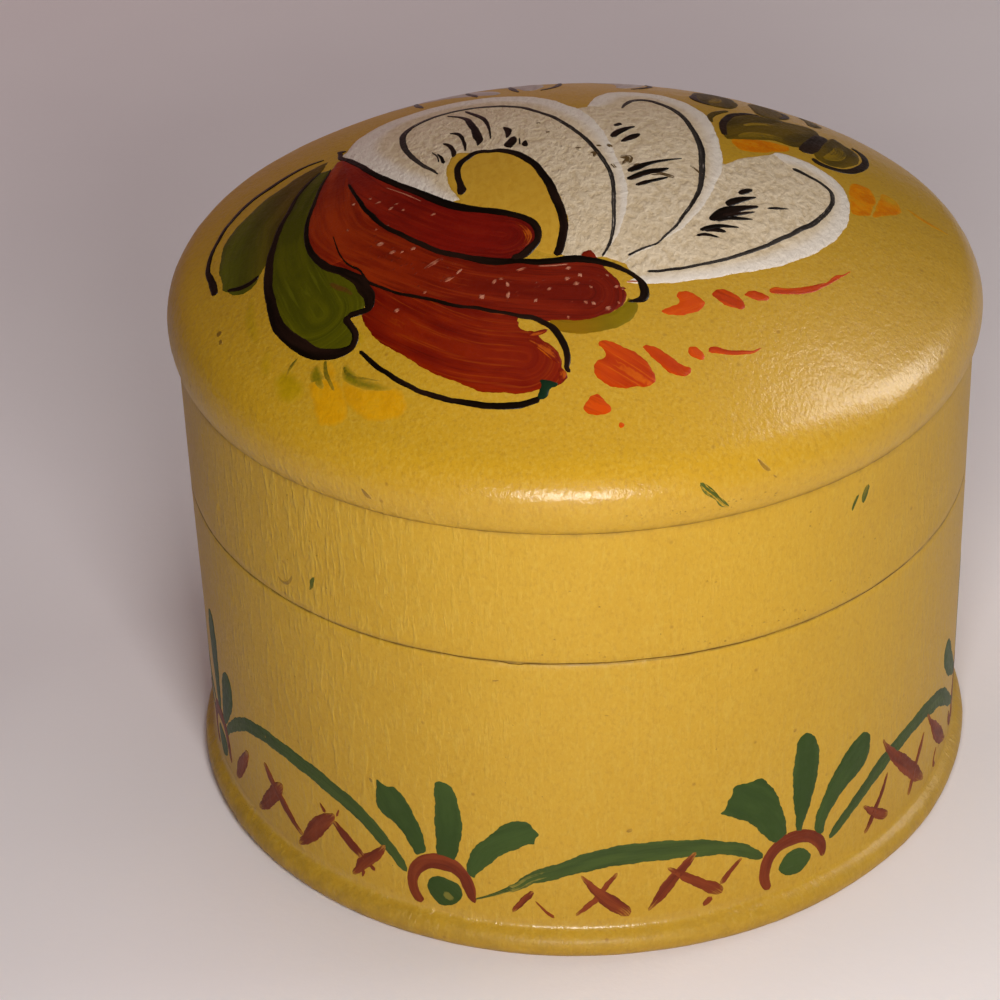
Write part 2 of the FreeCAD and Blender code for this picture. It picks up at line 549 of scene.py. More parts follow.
OCHRE_WALL = pigment(214, 167, 46)
OCHRE_TOP = pigment(211, 161, 32)
OCHRE_DEEP = pigment(203, 155, 34)
OCHRE_PALE = pigment(226, 188, 78)
OCHRE_FLECK = pigment(154, 104, 24)
# dirt colours, also used as painted shade in the crease, in the seam and on the foot
OCHRE_DIRT_AND_SHADE = pigment(132, 100, 40)
GRIME_AND_SHADE = pigment(128, 92, 30)
# height of the line that holds dirt and painted shade, how far they reach from it, and their least and
# most
DIRT_AND_SHADE_LINES = (
    (crease_height, 0.9, 0.05, 0.26),
    (crease_height, 0.32, 0.1, 0.32),
    (seam_height, 0.26, 0.4, 0.8),
)


def wood_skin(n):
    """What the wood under the paint does to its skin, as three heights from 0 to 1.

    Fine raised ridges run up the walls, where the blank's grain lies open, and are roughest on
    the left. The domed end grain has close small dimples instead. The third is a fine skin.
    Here and below, the walls' look gives way to the dome's between the heights of 51 and 58.
    """
    wall = n.ramp(n.z, 57, 51)
    long_fibres = n.noise(n.scaled(n.place, (1, 1, 0.24)), 1.5, 3.0, 0.6)
    patches = n.noise(n.scaled(n.place, (1, 1, 0.4)), 0.07, 2.0)
    open_grain = n.sum(n.ramp(n.x, 8, -26, 0.3, 0.75), n.ramp(patches, 0.45, 0.62, 0, 0.3))
    ridges = n.times(n.ramp(long_fibres, 0.46, 0.7), open_grain, wall)
    dimples = n.noise(n.scaled(n.place, (1, 0.75, 1)), 1.5, 3.0, 0.6)
    dimples = n.times(dimples, n.ramp(n.z, 51, 58, 0.55, 1))
    skin = n.noise(n.scaled(n.place, (1, 1, 0.6)), 2.8, 3.0, 0.6)
    return ridges, dimples, skin


def ochre_colour(n, ridges, skin):
    """The ochre with its clouds, flecks and pores, painted highlights along the raised fibres, and dirt
    with painted shade at the foot, seam and crease.
    """
    clouds = n.noise(n.place, 0.07, 3.0, 0.6)
    colour = n.mix(n.ramp(n.z, 52, 58), OCHRE_WALL, OCHRE_TOP)
    colour = n.mix(n.ramp(clouds, 0.4, 0.7, 0, 0.35), colour, OCHRE_DEEP)
    colour = n.mix(n.ramp(skin, 0.45, 0.7, 0, 0.3), colour, OCHRE_PALE)
    fleck = n.noise(n.scaled(n.place, (1, 1, 0.6)), 2.6, 4.0, 0.7)
    flecked = n.times(n.ramp(fleck, 0.46, 0.72), n.ramp(n.z, 51, 58, 0.22, 0.34))
    colour = n.mix(flecked, colour, OCHRE_FLECK)
    # painted highlight: the ochre is paler along the raised fibres, most on the left of the walls
    colour = n.mix(n.times(ridges, 0.3), colour, OCHRE_PALE)
    pores = n.node("TexVoronoi", n.place, None, 0.45)
    dot = n.ramp(pores.outputs["Distance"], 0.03, 0.14, 1, 0)
    chosen = n.ramp(pores.outputs["Color"], 0.6, 0.8)
    colour = n.mix(n.times(dot, chosen, 0.55), colour, OCHRE_FLECK)
    dirt_and_shade_patches = n.noise(n.place, 0.55, 3.0, 0.7)
    # dirt on the foot, with painted shade: darker low on the bead, and up to 2.2 times as much towards the
    # left, away from the light
    foot = n.times(n.ramp(n.z, 4.2, 2.6), n.ramp(dirt_and_shade_patches, 0.3, 0.75, 0.08, 0.26))
    colour = n.mix(n.times(foot, n.ramp(n.x, 0, -36, 1, 2.2)), colour, OCHRE_DIRT_AND_SHADE)
    # painted shade with some dirt: the ochre darkens along the crease's groove and the seam's gap
    for level, reach, least, most in DIRT_AND_SHADE_LINES:
        away = n.add("Math", n.sum(n.z, -level), operation="ABSOLUTE")
        dirt_and_shade = n.times(n.ramp(away, reach, 0.05), n.ramp(dirt_and_shade_patches, 0.35, 0.65, least, most))
        colour = n.mix(dirt_and_shade, colour, OCHRE_DIRT_AND_SHADE)
    return colour


def painted_wood(n, colour, ridges, dimples, skin, gloss=1.0):
    """The skin and sheen of the ochre: satin on the walls, glossy on the dome and in the cove.

    The dome is duller at the back left, and the cove at the right.
    """
    back_left = n.sum(n.y, n.times(n.x, -1.0))
    dome_gloss = n.times(n.ramp(n.z, 51, 57, 0.06, 0.55 * gloss), n.ramp(back_left, 12, 42, 1, 0.2))
    normal = n.bump(ridges, 0.06)
    normal = n.bump(n.times(dimples, n.ramp(n.x, 0, -32, 1, 1.8)), 0.06, normal)
    normal = n.bump(skin, 0.025, normal)
    in_cove = n.times(n.ramp(n.z, 4.7, 4.2, 0, 0.55), n.ramp(n.z, 2.9, 3.2),
                      n.ramp(n.x, 12, 24, 1, 0.08))
    n.feed(n.shader.inputs["Coat Weight"], n.sum(dome_gloss, in_cove))
    return n.finish(colour, n.ramp(skin, 0.3, 0.7, 0.42, 0.55), normal, Coat_Roughness=0.22,
                    Specular_IOR_Level=0.22 * gloss)


def ochre_paint():
    n = Nodes("ochre_paint")
    ridges, dimples, skin = wood_skin(n)
    return painted_wood(n, ochre_colour(n, ridges, skin), ridges, dimples, skin)


def wash(name, full, shade, reach, strength=1.0, under=None, gloss=1.0):
    """Thin paint that fades into the ochre, or the paint under it, near its edge.

    Here and below, full and shade are the pigments that a paint's own clouds run between.
    """
    n = Nodes(name)
    ridges, dimples, skin = wood_skin(n)
    edge = n.node("SeparateXYZ", n.attribute("flow", "Vector")).outputs[2]
    load = n.attribute("load", "Fac")
    clouds = n.noise(n.place, 0.5, 4.0, 0.6)
    paint = n.mix(n.ramp(clouds, 0.38, 0.62), pigment(*full), pigment(*shade))
    cover = n.times(n.ramp(edge, 0, reach, 0, strength), n.ramp(skin, 0.25, 0.6, 0.7, 1))
    cover = n.times(cover, load, n.ramp(clouds, 0.25, 0.5, 0.6, 1))
    ground = pigment(*under) if under else ochre_colour(n, ridges, skin)
    colour = n.mix(cover, ground, paint)
    return painted_wood(n, colour, ridges, dimples, skin, gloss)


def seam_grime_and_shade():
    """Dirt on the seam's two edges, painted dark as the shade in the gap between lid and body."""
    n = Nodes("seam_grime_and_shade")
    crumbs = n.noise(n.place, 1.6, 3.0, 0.6)
    colour = n.mix(n.ramp(crumbs, 0.35, 0.7), GRIME_AND_SHADE, OCHRE_DIRT_AND_SHADE)
    return n.finish(colour, 0.85, n.bump(crumbs, 0.05), Specular_IOR_Level=0.1)


def bare_wood():
    """Turned wood inside and underneath, with its rings and the tool's fine track."""
    n = Nodes("bare_turned_wood")
    rings = n.noise(n.scaled(n.place, (1, 1, 0.06)), 0.55, 4.0, 0.6)
    fibres = n.noise(n.scaled(n.place, (1, 1, 0.05)), 3.2, 3.0, 0.6)
    colour = n.mix(n.ramp(rings, 0.35, 0.65), pigment(222, 190, 142), pigment(196, 156, 104))
    colour = n.mix(n.ramp(fibres, 0.5, 0.75, 0, 0.6), colour, pigment(160, 118, 72))
    from_axis = n.add("Math", n.sum(n.times(n.x, n.x), n.times(n.y, n.y)), 0.5, operation="POWER")
    tool = n.add("Math", n.times(n.sum(from_axis, n.z), 6.0), operation="SINE")
    normal = n.bump(fibres, 0.05)
    normal = n.bump(tool, 0.012, normal)
    return n.finish(colour, 0.62, normal)


def brushed_paint(name, full, shade, streak, dry_at, ground=None, gloss=0.42, ridges=0.03,
                  left=None, left_span=(-24, -12), coat=0.08, lines=0.35, light=None,
                  specular=0.14):
    """Paint laid with a brush: streaks along the stroke, and ground showing where it ran thin.

    streak is how fine the streaks are, and dry_at how thin the paint runs before it breaks up.
    left is a second pair of colours that the paint takes on the left of a span of x. lines is
    how dark the bristles' tracks are, and light the colour of the pale tracks between them.
    Without a ground of its own the paint shows the ochre.
    """
    n = Nodes(name)
    full, shade = pigment(*full), pigment(*shade)
    tint = n.attribute("tint", "Fac")
    load = n.attribute("load", "Fac")
    run = n.attribute("flow", "Vector")
    flow = n.shifted(n.scaled(run, (0.1, 1, 0)), n.times(tint, 40.0))
    broad = n.noise(n.scaled(flow, (1, 0.6 * streak, 1)), 1.0, 3.0, 0.6)
    fine = n.noise(n.scaled(flow, (1.5, 3.4 * streak, 1)), 1.0, 2.0, 0.6)
    dark = tuple(0.35 * part for part in shade[:3]) + (1,)
    if left:
        side = n.ramp(n.x, left_span[0], left_span[1])
        full = n.mix(side, pigment(*left[0]), full)
        shade = n.mix(side, pigment(*left[1]), shade)
    colour = n.mix(n.ramp(broad, 0.36, 0.64), full, shade)
    track = n.noise(n.scaled(flow, (0.8, 2.2 * streak, 1)), 1.3, 3.0, 0.65)
    colour = n.mix(n.ramp(track, 0.54, 0.72, 0, lines), colour, dark)
    if light:
        colour = n.mix(n.ramp(track, 0.46, 0.3, 0, 0.4), colour, pigment(*light))
    wood, dimples, skin = wood_skin(n)
    empty = n.sum(n.times(load, -1.0), 1.0)
    thin = n.sum(n.times(fine, 0.6), n.times(dimples, 0.4), n.times(empty, 0.55))
    ground = pigment(*ground) if ground else ochre_colour(n, wood, skin)
    colour = n.mix(n.ramp(thin, dry_at + 0.2, dry_at + 0.36), colour, ground)
    normal = n.bump(dimples, 0.05)
    normal = n.bump(fine, ridges, normal)
    rough = n.ramp(skin, 0.3, 0.7, gloss - 0.05, gloss + 0.08)
    return n.finish(colour, rough, normal, Coat_Weight=coat, Coat_Roughness=0.2,
                    Specular_IOR_Level=specular)


def granular_white(name, full, shade, depth, outer=None):
    """Thick, dry off-white paint with a coarse skin; outer is its colour on its outer side."""
    n = Nodes(name)
    full, shade = pigment(*full), pigment(*shade)
    lumps = n.scaled(n.place, (1, 0.6, 1))
    grains = n.noise(lumps, 1.45, 2.5, 0.55)
    fine = n.noise(lumps, 3.6, 3.0, 0.6)
    colour = n.mix(n.ramp(grains, 0.34, 0.58), shade, full)
    colour = n.mix(n.ramp(n.noise(n.place, 0.25, 2.0), 0.4, 0.65, 0, 0.4), colour, shade)
    if outer:
        run = n.attribute("flow", "Vector")
        streaks = n.noise(n.scaled(run, (0.12, 1.6, 0)), 1.0, 3.0, 0.6)
        across = n.sum(n.node("SeparateXYZ", run).outputs[1], n.times(streaks, 0.8))
        colour = n.mix(n.ramp(across, -0.6, 1.0, 0, 0.8), colour, pigment(*outer))
    normal = n.bump(grains, depth)
    normal = n.bump(fine, 0.25 * depth, normal)
    return n.finish(colour, 0.55, normal, Coat_Weight=0.08, Coat_Roughness=0.3,
                    Specular_IOR_Level=0.25)


def pale_floor():
    n = Nodes("pale_floor")
    clouds = n.noise(n.place, 0.008, 3.0, 0.6)
    colour = n.mix(n.ramp(clouds, 0.35, 0.65), srgb(247, 241, 242), srgb(242, 235, 237))
    normal = n.bump(n.noise(n.place, 0.6, 3.0, 0.6), 0.04)
    return n.finish(colour, 0.75, normal, Specular_IOR_Level=0.3)


# ---- The two turned shells -----------------------------------------------------------------------
SHELL_SIDES = 480
SEAM_OPENING = 0.025
SEAM_ROUNDING = 0.06
SEAM_DEPTH = 0.16
SEAM_FADE = 2.5         # how far from the seam its waver dies away
LANDING_START = 0.1     # how far behind the seam's dark edges of dirt and painted shade the bare wood of the landing starts
LANDING_GAP = 0.01
GROOVE_ROWS = 7
# kinds of row: painted ochre, the seam's edges of dirt and painted shade, and bare wood
PAINTED, GRIMY_SHADED, WOOD = 0, 1, 2


def arc_row(centre_radius, centre_height, radius, start, end, rows):
    """Places of a profile along an arc."""
    angles = np.linspace(start, end, rows)
    return np.column_stack([centre_radius + radius * np.cos(angles),
                            centre_height + radius * np.sin(angles)])


def straight(start, end, step):
    """Places of a profile along a straight run, about a step apart."""
    count = max(2, round(math.dist(start, end) / step) + 1)
    return np.linspace(start, end, count)


def shell(name, runs, body, node, materials):
    """Turn a profile, given as runs of (radius, height) with their finish, into a dense piece."""
    rows, finish = [], []
    for run, kind in runs:
        start = 1 if rows and np.allclose(rows[-1], run[0]) else 0
        rows += list(run[start:])
        finish += [kind] * len(run[start:])
    rows = np.array(rows)
    run = directions(rows)
    facing = np.column_stack([run[:, 1], -run[:, 0]])
    turn = np.arange(SHELL_SIDES) * 2 * math.pi / SHELL_SIDES
    points, faces, kinds, starts = [], [], [], []
    total = 0
    for (radius, height), (out, up), kind in zip(rows, facing, finish):
        single = radius < 1e-6
        angles = turn[:1] if single else turn
        around = np.stack([np.sin(angles), -np.cos(angles)], 1)
        ring = np.column_stack([around * radius, np.full(len(angles), height)])
        if kind != WOOD:
            normal = np.column_stack([around * out, np.full(len(angles), up)])
            ring = ring + normal * (relief(ring) * (kind == PAINTED))[:, None]
            arc = ((angles + math.pi) % (2 * math.pi) - math.pi) * wall_radius
            near = math.exp(-((height - seam_height) / SEAM_FADE) ** 2)
            ring[:, 2] += seam_wave(arc) * near
        points.append(ring)
        starts.append((total, single))
        total += len(ring)
    for row in range(len(rows) - 1):
        (a, a_single), (b, b_single) = starts[row], starts[row + 1]
        for k in range(SHELL_SIDES):
            after = (k + 1) % SHELL_SIDES
            if a_single:
                faces.append((a, b + after, b + k))
            elif b_single:
                faces.append((a + k, a + after, b))
            else:
                faces.append((a + k, a + after, b + after, b + k))
        kinds += [max(finish[row], finish[row + 1])] * SHELL_SIDES
    piece = make_object(name, np.vstack(points), faces, materials, body, kinds)
    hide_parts(node)


def body_runs():
    """The body's profile from the middle of its underside, up outside and down inside."""
    bead_radius = wall_radius + foot_projection - foot_bead_radius
    reach = foot_bead_radius + foot_cove_radius
    meeting = math.acos((wall_radius + foot_cove_radius - bead_radius) / reach)
    cove = (bead_radius + reach * math.cos(meeting), foot_bead_height + reach * math.sin(meeting))
    bead = arc_row(bead_radius, foot_bead_height, foot_bead_radius,
                   -math.asin(foot_bead_height / foot_bead_radius), meeting, rows=16)
    hollow = arc_row(cove[0], cove[1], foot_cove_radius, meeting - math.pi, -math.pi, rows=7)
    edge = seam_height - SEAM_OPENING
    landing = wall_radius - SEAM_DEPTH - LANDING_START
    corner = arc_row(bore_radius - floor_corner_radius, base_thickness + floor_corner_radius,
                     floor_corner_radius, 0, -math.pi / 2, rows=9)
    return [
        (straight((0, 0), (bead[0][0], 0), 3.0), WOOD),
        (bead, PAINTED),
        (hollow, PAINTED),
        (straight(hollow[-1], (wall_radius, edge - SEAM_ROUNDING), 0.9), PAINTED),
        (straight((wall_radius, edge - SEAM_ROUNDING), (wall_radius - SEAM_ROUNDING, edge), 0.1),
         PAINTED),
        (straight((wall_radius - SEAM_ROUNDING, edge), (wall_radius - SEAM_DEPTH, edge), 0.1), GRIMY_SHADED),
        (straight((landing, seam_height - LANDING_GAP), (spigot_radius, seam_height), 0.8), WOOD),
        (straight((spigot_radius, seam_height), (spigot_radius, spigot_top - spigot_bevel), 1.5), WOOD),
        (straight((spigot_radius - spigot_bevel, spigot_top),
                  (bore_radius + ring_edge_bevel, spigot_top), 0.7), WOOD),
        (straight((bore_radius, spigot_top - ring_edge_bevel), corner[0], 2.0), WOOD),
        (corner, WOOD),
        (straight(corner[-1], (0, base_thickness), 2.4), WOOD),
    ]


def lid_runs():
    """The lid's profile from the middle of its hollow, down inside and up outside."""
    ceiling_radius = cap_radius - dome_thickness
    ceiling_angle = math.acos(bore_radius / ceiling_radius)
    ceiling = arc_row(0, cap_centre_height, ceiling_radius, math.pi / 2, ceiling_angle, rows=18)
    ceiling[0][0] = 0
    shoulder = arc_row(shoulder_centre_radius, shoulder_height, shoulder_radius, crease_angle,
                       tangent_angle, rows=30)
    cap = arc_row(0, cap_centre_height, cap_radius, tangent_angle, math.pi / 2, rows=68)
    cap[-1][0] = 0
    edge = seam_height + SEAM_OPENING
    landing = wall_radius - SEAM_DEPTH - LANDING_START
    flank = crease_height - crease_width
    groove = (wall_radius - crease_depth, crease_height)
    slope = np.linspace(0, 1, GROOVE_ROWS)
    return [
        (ceiling, WOOD),
        (straight(ceiling[-1], (bore_radius, rebate_top), 1.6), WOOD),
        (straight((bore_radius, rebate_top), (rebate_radius, rebate_top), 0.9), WOOD),
        (straight((rebate_radius, rebate_top), (rebate_radius, seam_height + rim_bevel), 1.4), WOOD),
        (straight((rebate_radius + rim_bevel, seam_height), (landing, seam_height), 0.6), WOOD),
        (straight((wall_radius - SEAM_DEPTH, edge), (wall_radius - SEAM_ROUNDING, edge), 0.1), GRIMY_SHADED),
        (straight((wall_radius - SEAM_ROUNDING, edge), (wall_radius, edge + SEAM_ROUNDING), 0.1),
         PAINTED),
        (straight((wall_radius, edge + SEAM_ROUNDING), (wall_radius, flank), 0.85), PAINTED),
        (np.column_stack([wall_radius - crease_depth * slope ** 2, flank + crease_width * slope]),
         PAINTED),
        (straight(groove, shoulder[0], 0.12), PAINTED),
        (shoulder, PAINTED),
        (cap, PAINTED),
    ]


# ---- Ornament on the lid -------------------------------------------------------------------------
THICK_LINER = (
    (-22.75, 1.6, .12), (-22.3, -.1, .2), (-21.8, -1.7, .22), (-21.3, -3.2, .25), (-20.8, -4.8, .28),
    (-20.1, -6.2, .3), (-19.3, -7.9, .3), (-18.1, -9.7, .3), (-17, -10.9, .33), (-15.9, -12.2, .35),
    (-14.8, -13.3, .35), (-13.6, -14.5, .38), (-12.5, -15.3, .4), (-11.2, -16, .4), (-9.9, -16.7, .45),
    (-8.8, -17.2, .55), (-7.7, -17.6, .55), (-6.5, -17.8, .5), (-5.1, -17.9, .38), (-3.5, -18.2, .45),
    (-1.9, -18.2, .5), (0, -18, .55), (1.7, -18.2, .5), (2.9, -18.5, .45), (4, -18.9, .35),
    (5.1, -19.5, .3), (6.1, -20.3, .3), (6.7, -21.2, .4), (6.9, -22.2, .45), (6.7, -23, .45),
    (6.1, -23.3, .3), (5.2, -23.5, .1))
CRIMSON_LINER = (
    (-24.5, 12.2, .1), (-24.3, 11.8, .2), (-24.1, 9.9, .3), (-23.2, 8.4, .35), (-22.3, 6.6, .4),
    (-21.5, 5.1, .4), (-20.9, 3.7, .4), (-20.1, 2.2, .42), (-19.1, .6, .45), (-18, -1, .48),
    (-16.9, -2.4, .5), (-15.8, -3.7, .52), (-14.8, -4.8, .55), (-13.7, -6.1, .6), (-12.6, -7.2, .65),
    (-11.2, -8.3, .65), (-9.9, -9, .6), (-8.7, -9.5, .55), (-7.4, -10, .55), (-6.2, -10.6, .5),
    (-5.1, -11.2, .5), (-4.1, -12, .48), (-3.5, -13, .45), (-3.3, -14.1, .4), (-3.4, -15.2, .4),
    (-4, -16.1, .5), (-4.9, -17.1, .5), (-5.9, -17.4, .4))
LOWER_LINER = (
    (-23.9, -8.1, .06), (-23.1, -11.4, .08), (-22.1, -13.6, .1), (-20.9, -15, .12), (-20, -17, .15),
    (-18.4, -18.5, .17), (-16.9, -19.7, .18), (-15.6, -20.4, .2), (-13.2, -21.7, .22),
    (-12, -22.4, .22), (-10.7, -23, .22), (-9.3, -23.4, .22), (-7.9, -24, .22), (-6.5, -24.45, .22),
    (-5.1, -25, .25), (-3.8, -25.3, .3), (-2.9, -25.9, .32), (-2.1, -26.5, .35), (-1.5, -27.4, .35),
    (-1.06, -28.3, .35), (-.75, -29.3, .35), (-.67, -30.3, .3), (-.75, -31.1, .25), (-.44, -31.6, .15))
FREE_LINER = (
    (-20.6, -25.6, .2), (-19.8, -26.7, .22), (-18.8, -28, .25), (-17.7, -29.1, .25),
    (-16.9, -29.95, .25), (-15.8, -30.8, .25), (-14.7, -31.7, .25), (-13.2, -32.5, .27),
    (-11.8, -33.2, .28), (-10.3, -33.7, .3), (-8.7, -34.2, .32), (-7.1, -34.5, .35),
    (-5.5, -34.6, .35), (-4.3, -34.4, .33), (-3.3, -34.1, .35))
OUTER_LEAF_LINER = (
    (-26, 11.3, .15), (-28, 11.4, .25), (-29.5, 10.8, .35), (-31.5, 9.4, .38), (-33.2, 8.2, .35),
    (-34.8, 6.1, .3), (-36, 3.6, .25), (-36.9, .4, .22), (-37.35, -2.5, .25), (-37.3, -4.6, .28),
    (-36.9, -6.2, .35), (-36.4, -8.2, .4), (-36.1, -9.6, .3))
OUTER_LEAF_END = ((-34.8, -9.9, .2), (-33.3, -10.6, .35), (-32.2, -10.5, .35), (-31.5, -9.9, .2))
INNER_LEAF_LEFT = (
    (-26.1, 7.5, .12), (-27, 6.2, .2), (-28, 4, .25), (-28.6, 2, .25), (-29, 0, .27), (-29.6, -2, .3),
    (-30.1, -5, .35), (-30.4, -7.5, .42), (-30.45, -10, .5), (-30.3, -13, .5), (-29.9, -15, .52),
    (-29.5, -17, .58), (-28.9, -19, .62), (-27.75, -21, .7), (-26.2, -23, .75), (-25.3, -24, .7),
    (-24.3, -24.6, .65), (-23.1, -25, .6), (-22.2, -25.1, .55), (-21.5, -24.9, .45),
    (-21.1, -24.2, .38), (-21.1, -23.4, .33), (-21.3, -22.8, .33), (-21.7, -22, .35),
    (-22, -21.4, .4), (-21.9, -20.8, .45))
INNER_LEAF_RIGHT = (
    (-25, 7.4, .08), (-25.2, 6, .12), (-25.7, 4, .18), (-26, 2, .2), (-26.3, -.2, .22),
    (-26.6, -2.3, .25), (-26.8, -3.9, .25), (-26.8, -5.4, .27), (-26.65, -7.3, .3),
    (-26.3, -8.9, .33), (-25.7, -10.5, .38), (-25.1, -11.7, .42), (-24.2, -13, .45),
    (-22.9, -14.2, .5), (-21.8, -15.4, .55), (-20.95, -16.4, .65), (-20.4, -17.8, .7),
    (-19.8, -19.2, .6), (-19.9, -20.7, .45), (-20.7, -20.8, .4), (-21.9, -20.8, .4))
EYE_LINER = (
    (-11, -6.2, .2), (-10.9, -5.3, .5), (-11.04, -4.2, .38), (-11.3, -2.9, .35), (-11.4, -1.5, .35),
    (-11.36, -.2, .38), (-10.96, .9, .4), (-10.4, 1.6, .42), (-9.8, 2.3, .42), (-9, 2.5, .4),
    (-8.2, 2.3, .35), (-7.4, 2.35, .42), (-6.6, 2, .48), (-5.9, 1.5, .5), (-5.1, .7, .5),
    (-4.3, -.4, .48), (-3.5, -1.8, .45), (-2.9, -3.4, .45), (-2.3, -5.1, .48), (-1.85, -6.8, .5),
    (-1.46, -8.6, .5), (-1.06, -10.3, .48), (-.8, -11.9, .45), (-.75, -13.3, .45), (-.9, -14.7, .45),
    (-1.1, -16.1, .45), (-1.5, -17.5, .45))
FIRST_PETAL_LINER = (
    (-13.4, -1.2, .12), (-13.95, -.1, .2), (-14.8, 1.1, .28), (-15.6, 2.7, .3), (-16.4, 4.6, .33),
    (-17, 6.6, .35), (-17.4, 8.7, .38), (-17.5, 10.3, .4), (-17.45, 11.5, .4), (-17.1, 12.8, .38),
    (-16.5, 13.9, .35), (-15.4, 15.1, .33), (-14.2, 16.1, .33), (-12.8, 16.6, .33),
    (-11.2, 16.9, .33), (-9.6, 16.8, .33), (-8.4, 16.5, .33), (-7.1, 16.1, .33), (-5.9, 15.4, .32),
    (-4.6, 14.3, .3), (-3.7, 13.1, .28), (-2.7, 11.8, .28), (-1.6, 10.3, .28), (-.5, 8.2, .28),
    (.4, 6.5, .28), (1.2, 4.8, .28), (2, 3, .28), (2.9, .4, .27), (3.5, -1.5, .26), (4, -3.5, .25),
    (4.25, -5.4, .24), (4.28, -7.3, .24), (4.25, -9.4, .24), (4.2, -11.7, .22), (4.1, -13.6, .2),
    (3.8, -15.3, .18), (3.4, -16.6, .15), (2.9, -17.7, .12))
SECOND_PETAL_LINER = (
    (5.6, 13.4, .1), (6.06, 15.3, .25), (6.7, 16.7, .35), (7.6, 17.4, .4), (8.7, 17.3, .4),
    (9.8, 16.2, .38), (10.8, 14.8, .38), (11.6, 13.2, .36), (12.2, 11.2, .33), (12.66, 9, .32),
    (13.1, 6.6, .34), (13.4, 4.3, .37), (13.5, 1.9, .38), (13.4, -.5, .36), (13.3, -2.6, .34),
    (13.1, -4.5, .3), (12.66, -6.7, .26), (12, -8.6, .23), (11.2, -10.5, .2), (10.3, -12.5, .17),
    (9.2, -14.2, .13), (8.3, -15.5, .12), (7, -16.3, .13), (5.4, -17.5, .15))
THIRD_PETAL_LINER = (
    (22.8, 2.7, .4), (23.6, 2.3, .35), (24.6, 1.7, .28), (25.4, 1.2, .27), (26, .5, .25),
    (26.5, -.4, .25), (26.6, -1.5, .25), (26.5, -2.8, .25), (26.1, -4, .27), (25.6, -5.3, .28),
    (24.9, -6.7, .3), (23.9, -8.3, .35), (22.8, -9.5, .33), (21.7, -10.9, .3), (20.6, -12, .3),
    (19.4, -13.3, .28), (18, -14.5, .27), (16.6, -15.6, .25), (15.1, -16.6, .24), (13.5, -17.5, .22),
    (11.7, -18.3, .2), (10.5, -18.8, .2), (9.4, -19.1, .2), (8.3, -19.4, .2), (7.2, -19.5, .2))

FIRST_PETAL_BACK = (
    (-24, 10.6), (-23.5, 11.5), (-23.2, 13.1), (-22.8, 14.5), (-22, 16), (-20.5, 18.2), (-19.5, 19.1),
    (-17, 20.5), (-13, 21.75), (-9, 21.75), (-6, 20.75), (-3.5, 19.25), (-1.5, 17), (0, 14.5),
    (1, 13.2))
FIRST_PETAL_RIGHT = (
    (1, 13.2), (2, 11), (3, 8), (4, 4), (4.75, 0), (5.5, -4), (5.75, -8), (5.4, -11), (4.75, -14),
    (3.75, -16.5), (3.25, -17.7))
EYE_EDGE = (
    (3.25, -17.7), (1.7, -17.9), (0, -17.8), (-1.3, -17), (-.9, -16), (-.5, -14.5), (-.4, -12),
    (-.9, -9.3), (-1.7, -6), (-2.6, -3.2), (-3.8, -.5), (-5.7, 1.8), (-7.4, 2.5), (-9, 2.7),
    (-10.3, 2.6), (-11.1, 2.9), (-11.8, 2.8), (-12.3, 1), (-12.5, -1), (-12.3, -3), (-11.8, -5),
    (-11, -7))
CRIMSON_TOP = (
    (-11, -7), (-12.6, -7), (-14.8, -4.6), (-16.9, -2.2), (-19.1, .8), (-20.9, 3.9), (-22.3, 6.8),
    (-24, 10.6))
SECOND_PETAL_EDGE = (
    (.9, 13.4), (2, 14), (2.3, 16), (2.8, 18), (3.4, 19.4), (4.25, 20.75), (6, 21.5), (8, 21.5),
    (10, 20.75), (12, 19), (13.5, 16.5), (14.5, 14), (15, 11), (15.4, 7), (15.6, 3), (15.6, 0),
    (15.2, -2.3), (14.5, -4.8), (13.6, -7.8), (12.3, -10.6), (11.1, -12.7), (9.5, -14.5),
    (7.9, -16.1), (6.06, -17.5), (5.2, -18.5))
THIRD_PETAL_EDGE = (
    (15.8, .4), (17.2, 2.2), (18.6, 3.3), (19.9, 4.4), (20.8, 5.2), (21.4, 6), (22.2, 6.2), (23.3, 6),
    (24.6, 5.5), (25.7, 4.7), (26.8, 3.7), (27.6, 2.4), (28.1, 1.1), (28.3, -.4), (28.3, -3.1),
    (28, -5), (27.6, -6.7), (26.9, -8.4), (26.1, -10), (25, -11.6), (23.9, -13), (22.7, -14.2),
    (21.4, -15.25), (20.2, -16.3), (18.8, -17.1), (17.2, -17.9), (14.9, -19), (13.3, -19.7),
    (11.7, -20.2), (10.1, -20.7), (8.6, -21), (7.3, -21.2), (5.1, -21.1))
